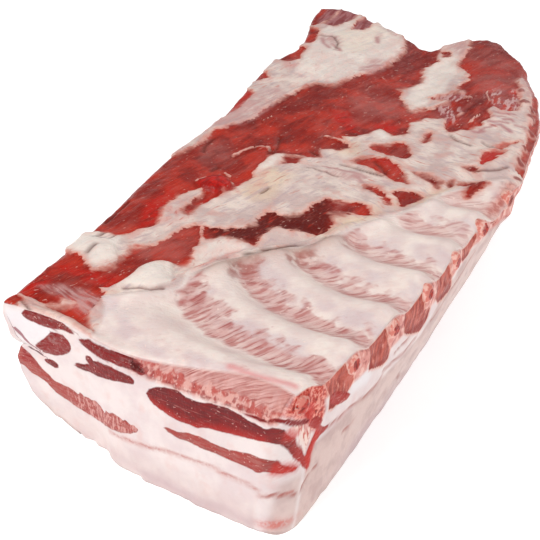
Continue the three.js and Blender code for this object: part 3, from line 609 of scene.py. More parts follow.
# The ribs' sawn ends: the first one's place along the rim, their height, radius, how proud they
# stand and how deep they sit, and their points around and rings.
FIRST_END = 3.4
END_HEIGHT = 58.0
END_RADIUS = 4.6
END_PROUD = 1.6
END_DEPTH = 4.0
END_POINTS = 28
END_RINGS = 7

# Where the right edge is notched, behind the last rib.
NOTCH = 207.0


def ease(start, end, t):
    s = np.clip((t - start) / (end - start), 0, 1)
    return s * s * (3 - 2 * s)


def bell(t, width):
    return np.exp(-((t / width) ** 2))


def curve_points(knots, shares):
    """Points on a smooth curve through the knots, at shares of its length."""
    knots = np.asarray(knots, float)
    padded = np.vstack([2 * knots[0] - knots[1], knots, 2 * knots[-1] - knots[-2]])
    spans = len(knots) - 1
    fine = np.linspace(0, spans, 80 * spans + 1)
    k = np.minimum(fine.astype(int), spans - 1)
    s = (fine - k)[:, None]
    a, b, c, d = padded[k], padded[k + 1], padded[k + 2], padded[k + 3]
    squared = 2 * a - 5 * b + 4 * c - d
    cubed = 3 * b - a - 3 * c + d
    line = 0.5 * (2 * b + (c - a) * s + squared * s**2 + cubed * s**3)
    length = np.concatenate([[0], np.cumsum(np.hypot(*np.diff(line, axis=0).T))])
    return np.stack([np.interp(shares, length / length[-1], line[:, i]) for i in (0, 1)], -1)


def beside_line(line, x, y):
    """Distance from a polyline in plan, positive to the left of its direction."""
    best = np.full(np.shape(x), 1e9)
    side = np.ones(np.shape(x))
    for (ax, ay), (bx, by) in zip(line[:-1], line[1:]):
        dx, dy = bx - ax, by - ay
        t = np.clip(((x - ax) * dx + (y - ay) * dy) / (dx * dx + dy * dy), 0, 1)
        gap = np.hypot(x - ax - t * dx, y - ay - t * dy)
        near = gap < best
        best = np.where(near, gap, best)
        side = np.where(near, np.where(dx * (y - ay) - dy * (x - ax) >= 0, 1, -1), side)
    return side * best


def inside(outline, x, y):
    """Distance from a closed outline, positive inside it."""
    closed = list(outline) + [outline[0]]
    gap = np.abs(beside_line(closed, x, y))
    crossings = np.zeros(np.shape(x), bool)
    for (ax, ay), (bx, by) in zip(closed[:-1], closed[1:]):
        spans = (ay > y) != (by > y)
        rise = by - ay if by != ay else 1e-9
        crossings ^= spans & (x < ax + (y - ay) * (bx - ax) / rise)
    return np.where(crossings, gap, -gap)


def inside_any(outlines, x, y):
    return np.max([inside(outline, x, y) for outline in outlines], axis=0)


def near_strokes(strokes, x, y):
    """1 on a stroke's line, falling off over its width."""
    return np.max([bell(beside_line(line, x, y), width) for line, width in strokes], axis=0)


def deepest(shapes, x, y):
    """Depth in whichever of some outlines holds each place deepest, and that one's tone."""
    depths = np.array([inside(outline, x, y) for outline, _ in shapes])
    tones = np.array([tone for _, tone in shapes])
    return depths.max(axis=0), tones[depths.argmax(axis=0)]


def side_of(line, x, y):
    """0.5 on a line, rising to its left and falling to its right over 5 mm."""
    return np.clip(0.5 + 0.1 * beside_line(line, x, y), 0, 1)


def lattice(cell, seed):
    """A fixed draw between -1 and 1 for each cell of a lattice."""
    h = cell[..., 0] * 374761393 + cell[..., 1] * 668265263 + cell[..., 2] * 1274126177 + seed * 974634777
    h = (h ^ (h >> 13)) * 1103515245 & 0x7FFFFFFF
    h = (h ^ (h >> 16)) * 1911520717 & 0x7FFFFFFF
    return (h ^ (h >> 15)) / 0x3FFFFFFF - 1


def noise(points, size, seed=0):
    """Smooth noise between -1 and 1 whose lumps are about size mm."""
    p = np.asarray(points, float) / size
    cell = np.floor(p).astype(np.int64)
    f = p - cell
    f = f * f * (3 - 2 * f)
    total = 0
    for i in (0, 1):
        for j in (0, 1):
            for k in (0, 1):
                corner = lattice(cell + np.array([i, j, k]), seed)
                wx = f[..., 0] if i else 1 - f[..., 0]
                wy = f[..., 1] if j else 1 - f[..., 1]
                wz = f[..., 2] if k else 1 - f[..., 2]
                total = total + corner * wx * wy * wz
    return total


def rough(points, size, seed=0, octaves=3):
    """Noise with finer lumps added, each half as large and as strong."""
    total = sum(noise(points, size / 2**o, seed + 7 * o) / 2**o for o in range(octaves))
    return total / (2 - 0.5 ** (octaves - 1))


def rib_bend(x, y):
    reach = np.clip((-x - RIB_STRAIGHT) / RIB_BEND_REACH, 0, 1.6)
    return RIB_BEND * reach**2 * np.clip(y / RIB_BEND_REACH, 0.3, 1.8)


def rib_phase(x, y):
    """Whole numbers lie on the ribs' centre lines."""
    return (y - rib_bend(x, y) - RIB_FIRST) / RIB_PITCH


def table_height(x, y):
    """Height of the top without its relief."""
    left = LEFT_HEIGHT + LEFT_RISE * np.exp(-np.maximum(y, 0) / LEFT_RISE_LENGTH)
    right = RIGHT_HEIGHT - RIGHT_FALL * y + RIGHT_RISE * np.exp(-np.maximum(y, 0) / RIGHT_RISE_LENGTH)
    return left + (right - left) * np.clip((x + 150) / 155, 0, 1) ** 3


def lobe(x, y, cx, cy, half_width, half_length, turn, height):
    angle = math.radians(turn)
    across = (x - cx) * math.cos(angle) + (y - cy) * math.sin(angle)
    along = (y - cy) * math.cos(angle) - (x - cx) * math.sin(angle)
    return height * bell(across, half_width) * bell(along, half_length)


def top_height(x, y):
    beside = beside_line(RACK_EDGE, x, y)
    phase = rib_phase(x, y)
    leaning = phase + 0.045 * (1 - np.cos(2 * np.pi * phase))
    ridges = RIDGE_HEIGHT * np.cos(2 * np.pi * leaning) * (1 - ease(-6, 2, beside))
    rolled_edge = ROLLED_EDGE * bell(beside + 3, 4)
    trough = -TROUGH_DEPTH * bell(beside - 6, 5) * ease(30, 60, y)
    flank = FAT_RISE * ease(-3, 8, beside)
    lobes = sum(lobe(x, y, *shape) for shape in LOBES)
    rounded = SIDE_DROP * (1 - ease(0, SIDE_ROUND, beside_line(RIGHT_RIM, x, y)))
    return table_height(x, y) + ridges + rolled_edge + trough + flank + lobes - rounded


def patch_between(front, right, back, left):
    """The smooth patch between four edges."""
    u = np.linspace(0, 1, len(front))[:, None, None]
    v = np.linspace(0, 1, len(left))[None, :, None]
    along = front[:, None] * (1 - v) + back[:, None] * v
    across = left[None] * (1 - u) + right[None] * u
    near = front[0] * (1 - u) + front[-1] * u
    far = back[0] * (1 - u) + back[-1] * u
    return along + across - (near * (1 - v) + far * v)


def ring_of(front, right, back, left):
    return np.concatenate([front[:-1], right[:-1], back[::-1][:-1], left[::-1][:-1]])


def length_along(ring):
    """Length along a closed ring up to each of its points, and its whole length."""
    steps = np.hypot(*(np.roll(ring, -1, axis=0) - ring).T)
    return np.concatenate([[0], np.cumsum(steps)[:-1]]), steps.sum()


def wall_weights(ring, starts):
    """How much of each wall's profile holds at each point of the ring of the rim."""
    along, whole = length_along(ring)
    past = [(along - along[start] + 1.5 * whole) % whole - whole / 2 for start in starts]
    front = ease(0, 16, past[0]) * (1 - ease(-4, 8, past[1]))
    side = ease(-4, 8, past[1]) * (1 - ease(-14, 14, past[2]))
    far = side * ease(135, 190, past[1])
    back = ease(-14, 14, past[2]) * (1 - ease(-12, 12, past[3]))
    left = np.maximum(1 - front - side - back, 0)
    return {"front": front, "right": side - far, "far": far, "back": back, "left": left}


def slab_surface():
    """Points, faces, the ring of the foot and where each point lies, of the whole slab."""
    across = np.linspace(0, 1, CELLS_ACROSS + 1)
    t = np.linspace(0, 1, CELLS_ALONG + 1)
    along = t * (0.85 + 0.15 * t)
    rims = [curve_points(FRONT_RIM, across), curve_points(RIGHT_RIM, along),
            curve_points(BACK_RIM, across), curve_points(LEFT_RIM, along)]
    feet = [curve_points(FRONT_FOOT, across), curve_points(RIGHT_FOOT, along),
            curve_points(BACK_FOOT, across), curve_points(LEFT_FOOT, along)]
    plan = patch_between(*rims)
    height = top_height(plan[..., 0], plan[..., 1])
    top = np.concatenate([plan, height[..., None]], -1)

    number = np.arange(top.shape[0] * top.shape[1]).reshape(top.shape[:2])
    rim_numbers = ring_of(number[:, 0], number[-1], number[:, -1], number[0])
    rim = top.reshape(-1, 3)[rim_numbers]
    foot = ring_of(*feet)
    starts = [0, CELLS_ACROSS, CELLS_ACROSS + CELLS_ALONG, 2 * CELLS_ACROSS + CELLS_ALONG]
    weights = wall_weights(rim[:, :2], starts)
    share = np.linspace(0, 1, CELLS_UP + 1)[:-1]
    reach = sum(weights[side][:, None] * np.interp(share, LEVEL, WALL[side])[None] for side in WALL)
    wall_plan = foot[:, None] * (1 - reach[..., None]) + rim[:, None, :2] * reach[..., None]
    wall = np.concatenate([wall_plan, (rim[:, None, 2] * share[None])[..., None]], -1)

    points = np.vstack([top.reshape(-1, 3), wall.transpose(1, 0, 2).reshape(-1, 3)])
    ring = len(rim_numbers)
    levels = [number.size + level * ring + np.arange(ring) for level in range(CELLS_UP)] + [rim_numbers]
    cells = np.stack([number[:-1, :-1], number[1:, :-1], number[1:, 1:], number[:-1, 1:]], -1)
    quads = [cells.reshape(-1, 4)]
    for low, high in zip(levels[:-1], levels[1:]):
        quads.append(np.stack([low, np.roll(low, -1), np.roll(high, -1), high], -1))

    place = {name: np.zeros(len(points)) for name in (*WALL, "top", "arc")}
    place["top"][:number.size] = 1
    for name in WALL:
        place[name][number.size:] = np.tile(weights[name], CELLS_UP)
    arc, _ = length_along(rim[:, :2])
    place["arc"][number.size:] = np.tile(arc - arc[CELLS_ACROSS], CELLS_UP)
    place["rim_gap"] = rim_gaps(ring)
    return points, np.vstack(quads), levels[0], place


def rim_gaps(ring):
    """How many cells each point lies away from the rim."""
    inner = np.minimum(np.arange(CELLS_ACROSS + 1), np.arange(CELLS_ACROSS + 1)[::-1])
    outer = np.minimum(np.arange(CELLS_ALONG + 1), np.arange(CELLS_ALONG + 1)[::-1])
    on_top = np.minimum(inner[:, None], outer[None]).ravel()
    return np.concatenate([on_top, np.repeat(np.arange(CELLS_UP, 0, -1), ring)]).astype(float)


def edges_of(quads):
    return np.vstack([quads[:, [0, 1]], quads[:, [1, 2]], quads[:, [2, 3]], quads[:, [3, 0]]])


def relaxed(points, quads, weight, rounds):
    """Points drawn towards their neighbours, most where the weight is 1."""
    ends = edges_of(quads)
    count = np.bincount(ends.ravel(), minlength=len(points))
    for _ in range(rounds):
        total = np.zeros_like(points)
        for axis in range(3):
            total[:, axis] += np.bincount(ends[:, 0], points[ends[:, 1], axis], len(points))
            total[:, axis] += np.bincount(ends[:, 1], points[ends[:, 0], axis], len(points))
        mean = total / np.maximum(count, 1)[:, None]
        points = points + (mean - points) * weight[:, None]
    return points


def normals_of(points, quads):
    across = points[quads[:, 2]] - points[quads[:, 0]]
    along = points[quads[:, 3]] - points[quads[:, 1]]
    face = np.cross(across, along)
    total = np.zeros_like(points)
    for corner in range(4):
        for axis in range(3):
            total[:, axis] += np.bincount(quads[:, corner], face[:, axis], len(points))
    return total / np.maximum(np.linalg.norm(total, axis=1), 1e-9)[:, None]


def drawn_out(p, degrees, along, across, seed=0, octaves=2):
    """Noise whose lumps are along mm long in a direction of the plan and across mm wide."""
    angle = math.radians(degrees)
    u = (p[:, 0] * math.cos(angle) + p[:, 1] * math.sin(angle)) / along
    v = (p[:, 1] * math.cos(angle) - p[:, 0] * math.sin(angle)) / across
    return rough(np.stack([u, v, p[:, 2] / (2 * across)], -1), 1, seed, octaves)


def swayed(p):
    """Places of the plan, swayed a little so that no outline runs smooth."""
    return p[:, 0] + 1.6 * rough(p, 9, 11), p[:, 1] + 1.6 * rough(p, 9, 12)


def paint_top(p, facts):
    wx, wy = swayed(p)
    beside = np.maximum(beside_line(RACK_EDGE, wx, wy), inside(CORNER_TOP, wx, wy))
    facts["beside"] = beside
    facts["rack"] = 1 - ease(-1, 1, beside)
    for name, (outlines, start, full) in TOP_LAYERS.items():
        facts[name] = ease(start, full, inside_any(outlines, wx, wy))
    paint_bare_flesh(p, wx, wy, facts)
    paint_marks(p, wx, wy, facts)
    paint_streaks(p, facts)


def paint_bare_flesh(p, wx, wy, facts):
    """Flesh on the top, with torn edges, pale pieces across it and a strip along the right edge."""
    x, y = p[:, 0], p[:, 1]
    torn = drawn_out(p, TORN_TURN, 7.5, 1.7, 3)
    ragged = 1.3 * torn * ease(-100, -84, x) * ease(92, 112, y) * (1 - ease(160, 190, y))
    ragged = ragged + 1.5 * rough(p, 6, 13) * ease(20, 40, y) + 0.5 * torn
    ragged = ragged + 1.6 * torn * bell(x + 66, 16) * ease(252, 270, y)
    flesh = np.clip(inside_any(FLESH, wx, wy) + ragged, -5, 3)
    drawn = near_strokes(PALE_STROKES, wx, wy)
    facts["torn_edge"] = np.maximum(drawn, 0.85 * near_strokes(PINK_STROKES, wx, wy))
    flesh = flesh - (4.2 + 1.5 * rough(p, 7, 16)) * drawn
    from_right = beside_line(RIGHT_RIM, x, y)
    strip = EDGE_STRIP - from_right + 2 * rough(p, 7, 14)
    flesh = np.where(y > EDGE_STRIP_START, np.maximum(flesh, strip), flesh)
    facts["edge_pink"] = bell(from_right - 3, 3.5) * ease(170, 190, y + 6 * rough(p, 9, 15))
    scrap = inside(EDGE_SCRAP, wx, wy) + 0.5 * torn
    facts["flesh"] = np.clip(np.maximum(np.where(facts["beside"] < -1, -4, flesh), scrap), -5, 5)


def paint_marks(p, wx, wy, facts):
    """Veins, knobs, lumps and creases of the top, and painted shadow under the rolled edge, thin and soft.
    """
    x, y = p[:, 0], p[:, 1]
    facts["vein"] = near_strokes(VEINS, wx, wy)
    facts["knob"] = np.max([bell(np.hypot(x - cx, y - cy), 0.8 * r) for cx, cy, r in RIM_KNOBS], axis=0)
    facts["lump"] = np.max([h * ease(-0.5, 3, inside(o, wx, wy)) for o, h in LUMPS], axis=0)
    facts["crease"] = near_strokes(CREASES, x, y)
    # Painted shadow under the rolled edge: a thin dark line, and a soft wide shade across the rack beside
    # it.
    fold = np.abs(beside_line(ROLL_SHADOW, wx, wy))
    facts["shade"] = bell(fold, 0.9) * ease(70, 96, y)
    facts["soft_shade"] = bell(fold, 8) * facts["rack"] * ease(60, 72, y)
    facts["close"] = bell(facts["beside"] + 7, 7) * ease(40, 50, y) * (1 - ease(115, 135, y))
    facts["front_line"] = bell(beside_line(FRONT_LINE, x, y), 1.5)


def paint_streaks(p, facts):
    """Where each point lies between its two ribs, and its place along the streaks there."""
    x = p[:, 0]
    phase = rib_phase(x, p[:, 1])
    q = phase - np.floor(phase)
    rib = np.clip(np.floor(phase).astype(int), 0, RIB_COUNT - 1)
    lean = np.radians(STREAK_LEAN)[rib]
    facts["streak_a"] = x * np.sin(lean) - q * RIB_PITCH * np.cos(lean)
    facts["streak_b"] = x * np.cos(lean) + q * RIB_PITCH * np.sin(lean)
    facts["band_start"] = np.array(STREAK_START)[rib] + 0.12 * ease(-15, -38, x)
    facts["phase"] = phase
    facts["streaked"] = ease(-104, -88, x) * ease(0.5, 4, -facts["beside"]) * ease(-0.35, 0.2, phase)


def paint_front(p, facts):
    """The front cut. Its seams are followed along their drift."""
    x, y, z = p.T
    cut_x = x - SEAM_DRIFT * y
    sx, sz = cut_x + 0.7 * rough(p, 6, 21), z + 0.5 * rough(p, 6, 22)
    depth, facts["tone"] = deepest(SEAMS, sx, sz)
    spikes = noise(np.stack([(cut_x + 0.35 * z) * 2.2, z * 0.35, 0 * y], -1), 3.2, 5)
    toothed = bell(cut_x + 97, 20) * ease(22, 26, z) * (z < 33)
    facts["flesh"] = np.clip(depth + 1.5 * spikes * toothed, -5, 5)
    facts["bright"] = bell(beside_line(MAIN_FOOT, sx, sz), 2.6)
    facts["upper"] = ease(40, 50, z) * ease(-75, -68, cut_x)
    facts["marbled"] = ease(-66, -72, cut_x) * ease(35, 38, z)
    facts["crimson"] = ease(-70, -76, cut_x) * ease(31, 34, z)
    facts["grainy"] = ease(-124, -108, cut_x) * (1 - ease(-77, -73, cut_x)) * (z < 35)
    beads = 0.85 + 0.15 * noise(np.stack([x, z * 0, z * 0], -1), 4, 23)
    facts["line"] = bell(beside_line(RIND_LINE, sx, sz), 0.95) * beads
    facts["groove"] = near_strokes([(FLAP_LINE, 1.15), (FLAP_FOLD, 0.95)], sx, sz)
    facts["flap_near"] = near_strokes([(FLAP_LINE, 4)], sx, sz)
    facts["flap_side"] = side_of(FLAP_LINE, sx, sz)
    facts["fold_side"] = side_of(FLAP_FOLD, sx, sz)
    facts["fold_near"] = near_strokes([(FLAP_FOLD, 3)], sx, sz)
    facts["dark_line"] = near_strokes(DARK_LINES, sx, sz)
    edge = ease(-86, -76, x + 2 * rough(p, 6, 24)) * ease(51.5, 54, z + 1.2 * rough(p, 5, 25))
    facts["bevel"] = edge
    facts["rack"] = edge
    facts["skin"] = 0.35 * (1 - ease(6, 20, z))
    facts["mauve"] = 0.8 * bell(z - 3.4 - 1.5 * rough(p, 9, 32), 3.2) * ease(-100, -60, x)
    facts["white"] = ease(-2, 2, inside(WHITE_FLAP, sx, sz))


def paint_corner(p, s, facts):
    """The near corner and the right wall, by s, the length along the rim, and height."""
    z = p[:, 2]
    ws, wz = s + 0.8 * rough(p, 6, 26), z + 0.8 * rough(p, 6, 27)
    depth, facts["tone"] = deepest(CORNER_FLESH, ws, wz)
    facts["flesh"] = np.clip(depth, -5, 5)
    facts["lozenge"] = ease(-0.6, 0.9, inside_any(LOZENGES, ws, wz))
    facts["rim_red"] = ease(-1.2, 1.2, inside_any(LOZENGE_FOOT, ws, wz))
    ribs = (s - FIRST_END) / RIB_PITCH
    from_end = np.abs(ribs - np.round(ribs)) * RIB_PITCH
    facts["rib_end"] = bell(from_end, 6) * bell(z - 56, 7) * (s > -2) * (s < 205)
    facts["torn"] = ease(-2, 1.5, inside(TORN_END, ws, wz))
    facts["fan"] = ease(-1.5, 1.5, inside(FAN, ws, wz))
    skin_top = np.interp(s, *SKIN_TOP)
    flat_edge = 10 + 0.13 * (24 - z)
    flat_corner = ease(0.5, 4, s) * (1 - ease(-1, 1, s - flat_edge)) * (1 - ease(20, 25, z))
    skin = (1 - ease(-1, 1.5, z - skin_top + 0.5 * rough(p, 9, 30))) * ease(-1, 1, s - flat_edge - 1.6)
    facts["skin"] = np.maximum(skin, 0.8 * flat_corner)
    facts["mauve"] = (1 - ease(3, 16, z + 3 * rough(p, 12, 33))) * ease(30, 70, s)
    facts["scarlet"] = ease(-1.2, 1, inside_any(SCARLET, ws, wz))
    facts["brown"] = near_strokes(SIDE_LINES, ws, wz)
    facts["white"] = ease(-2, 2, inside(WHITE_WEDGE, ws, wz))
    facts["rack"] = ease(-1.5, 1.5, wz - np.interp(s, *BAND_FOOT)) * (s > 2)
    facts["bright"] = 0.9 * ease(1, 6, s)
    facts["foot_red"] = bell(z - 4 + 1.2 * rough(p, 4, 31), 1.6) * bell(s - 5, 8)
    facts["line"] = bell(beside_line(CORNER_RIND, ws, wz), 0.8)
    facts["dark_line"] = near_strokes(CORNER_LINES, ws, wz)


def paint_hidden(p, facts):
    """The left and back walls: the layers' far ends, and red running down from the top's edge."""
    x, y, z = p.T
    cut_x = x - SEAM_DRIFT * y
    sx, sz = cut_x + 1.2 * rough(p, 7, 61), z + 0.8 * rough(p, 7, 62)
    depth, tone = deepest(SEAMS, sx, sz)
    seams = np.where((y > 150) | (y < 9), depth, -5)
    drop = top_height(x, y) - z
    reach = (8 + 3 * rough(p, 14, 63)) * ease(6, 26, y) + 1
    run = np.minimum(inside_any(FLESH, *swayed(p)), reach - drop)
    facts["flesh"] = np.clip(np.maximum(seams, run), -5, 5)
    facts["tone"] = np.where(run > seams, 0.25, tone)
    facts["bright"] = 0.6 * (run > seams)
    facts["skin"] = 0.6 * (1 - ease(6, 20, z))
    facts["groove"] = 0.8 * bell(z - 44 - 1.5 * rough(p, 12, 64), 1.3) * (1 - ease(20, 60, y))


FACT_NAMES = (
    "top", "rack", "flesh", "dark", "vivid", "film", "marbled", "cream", "lump", "crease", "shade", "soft_shade",
    "streak_a", "streak_b", "phase", "streaked", "front_line", "beside", "grainy", "line", "tone", "upper",
    "skin", "bevel", "lozenge", "rim_red", "rib_end", "torn", "fan", "brown", "white", "groove",
    "dark_line", "wall", "side", "edge_pink", "bright", "close", "mauve", "crimson", "band_start",
    "torn_edge", "knob", "dusky", "tip", "blush", "cherry", "scarlet", "foot_red", "vein", "haze",
    "flap_near", "flap_side", "fold_side", "fold_near",
)


def paint_part(paint, chosen, facts, *known):
    """Paints only the chosen points, by what is known of them. What the painter doesn't name stays."""
    part = {}
    paint(*(values[chosen] for values in known), part)
    for name, values in part.items():
        facts[name][chosen] = values


def copied(facts):
    return {name: values.copy() for name, values in facts.items()}


def blend_facts(before, facts, names, share):
    for name in names:
        facts[name] = before[name] * (1 - share) + facts[name] * share


def painted(points, place):
    """What each point of the surface looks like, as named numbers."""
    facts = {name: np.zeros(len(points)) for name in FACT_NAMES}
    facts["flesh"][:] = -5
    facts["top"] = place["top"].copy()
    facts["wall"] = 1 - place["top"]
    corner = ease(-9, -5, place["arc"]) * np.maximum(place["right"], place["far"] + place["right"])
    corner = np.maximum(corner, ease(-6, -1, place["arc"]) * (place["arc"] < 60)) * facts["wall"]
    facts["side"] = corner
    top = place["top"] > 0.5
    front = ~top & (place["front"] > 0.02) & (corner < 0.98)
    right = ~top & (corner > 0.02)
    hidden = ~top & (place["left"] + place["back"] > 0.02)
    paint_part(paint_top, top, facts, points)
    paint_part(paint_hidden, hidden, facts, points)
    before = copied(facts)
    paint_part(paint_front, front, facts, points)
    near_left = np.where(front, ease(0.02, 0.3, place["front"]), 1)
    blend_facts(before, facts, ("flesh", "tone", "bright", "skin"), near_left)
    before = copied(facts)
    paint_part(paint_corner, right, facts, points, place["arc"])
    changed = [name for name in FACT_NAMES if name not in ("top", "wall", "side")]
    blend_facts(before, facts, changed, np.where(right, corner, 0))
    return facts


def top_relief(p, facts):
    """Torn fat over flesh, with its lumps, fibres and creases, and the rolled edge over the rack."""
    x, y, z = p.T
    top, rack = facts["top"], facts["rack"]
    flesh = ease(-0.8, 0.8, facts["flesh"])
    fat = (1 - rack) * (1 - flesh) * top
    out = FAT_HEIGHT * (1 - ease(-1.4, 1.2, facts["flesh"])) * top * (1 - rack)
    out += 0.5 * bell(facts["flesh"] + 1.6, 1.5) * fat
    out += 0.4 * rough(p, 5.5, 56) * fat
    out += facts["lump"] * (0.8 + 0.2 * rough(p, 5, 40))
    out += CHERRY_HEIGHT * facts["cherry"] + KNOB_HEIGHT * facts["knob"]
    out += 0.8 * rough(p, 11, 41) * (1 - rack) * top
    out += 0.4 * drawn_out(p, 70, 14, 3.2, 42) * fat * (1 - ease(-90, -60, x))
    out += 0.4 * drawn_out(p, -8, 14, 3.0, 43) * fat * ease(-90, -60, x)
    out += 0.5 * drawn_out(p, 78, 16, 3.4, 44) * flesh * top
    out += 0.2 * rough(p, 2.6, 45) * flesh
    roll = bell(facts["beside"] - 3.0, 2.8) * ease(40, 60, y) * (1 - ease(150, 162, y)) * top
    out += ROLL_HEIGHT * roll * (0.8 + 0.4 * rough(p, 8, 46)) - facts["shade"] * top
    out -= CREASE_DEPTH * facts["crease"] * top
    streaks = noise(np.stack([facts["streak_a"] / 3, facts["streak_b"] / 10, 0 * z], -1), 1, 47)
    valley = facts["phase"] - np.floor(facts["phase"])
    in_valley = ease(0.15, 0.3, valley) * (1 - ease(0.6, 0.8, valley))
    out += STREAK_HEIGHT * streaks * in_valley * facts["streaked"]
    return out + 0.3 * rough(p, 14, 48) * rack * top


def edge_relief(p, facts):
    """Knobs and the notch along the right edge at the back."""
    x, y, z = p.T
    from_right = np.where(facts["top"] > 0.5, np.maximum(beside_line(RIGHT_RIM, x, y), 0), 0)
    knobs = 1.8 * rough(p, 9, 58) - NOTCH_DEPTH * bell(y - NOTCH, 4.5) + 1.4 * bell(y - NOTCH + 10, 4)
    return knobs * bell(from_right, 5) * ease(150, 200, y) * ease(36, 50, z) * (x > -70)


def wall_relief(p, place, facts):
    """Lines and the hanging flap of the front cut, rib ends and hollows of the right wall, and the foot."""
    x, y, z = p.T
    wall = facts["wall"]
    front = wall * (1 - facts["side"]) * place["front"]
    out = -0.25 * ease(-0.3, 0.6, facts["flesh"]) * front
    out -= 0.2 * facts["line"] + 0.5 * facts["groove"] + 0.6 * facts["dark_line"]
    corner_flap = (1 - ease(16, 44, y)) * ease(-124, -136, x) * wall
    out += FLAP_FULL * bell(z - 47.5, 4) * corner_flap
    knobs = rough(np.stack([x, z * 0.45, 0 * z], -1), 3.4, 49)
    out += 1.4 * knobs * facts["bevel"] * (1 - ease(59, 63, z))
    out += 1.6 * rough(p, 7, 57) * ease(215, 240, y) * ease(0.2, 0.8, place["far"]) * ease(38, 46, z)
    out += 1.3 * facts["rib_end"] - 0.9 * facts["lozenge"] * (0.5 + 0.8 * rough(p, 4, 50))
    out += 1.4 * facts["torn"] * rough(p, 4, 51) - 0.5 * facts["brown"]
    out += 0.8 * facts["fan"] * rough(p, 3.5, 52)
    wobble = 1.6 * rough(np.stack([x, y, z * 0.3], -1), 24, 53, 4) + 0.9 * noise(p, 4.4, 54)
    out += wobble * (1 - ease(3, 14, z)) * wall * (1 - 0.7 * facts["side"])
    return out + 0.35 * rough(p, 15, 55) * wall


def mesh_piece(name, points, faces, material, attributes=None):
    """A smooth mesh object from points in mm in the part's own places."""
    mesh = bpy.data.meshes.new(name)
    mesh.from_pydata((np.asarray(points) - BOX_CENTRE) * MM, [], faces)
    mesh.update()
    for key, values in (attributes or {}).items():
        layer = mesh.attributes.new(key, "FLOAT", "POINT")
        layer.data.foreach_set("value", np.asarray(values, np.float32))
    mesh.polygons.foreach_set("use_smooth", np.full(len(mesh.polygons), True))
    mesh.materials.append(material)
    piece = bpy.data.objects.new(name, mesh)
    bpy.context.scene.collection.objects.link(piece)
    return piece


def srgb(red, green, blue):
    """A colour given as in a photograph, 0 to 255, made linear."""
    def linear(value):
        c = value / 255
        return c / 12.92 if c <= 0.04045 else ((c + 0.055) / 1.055) ** 2.4
    return (linear(red), linear(green), linear(blue), 1)


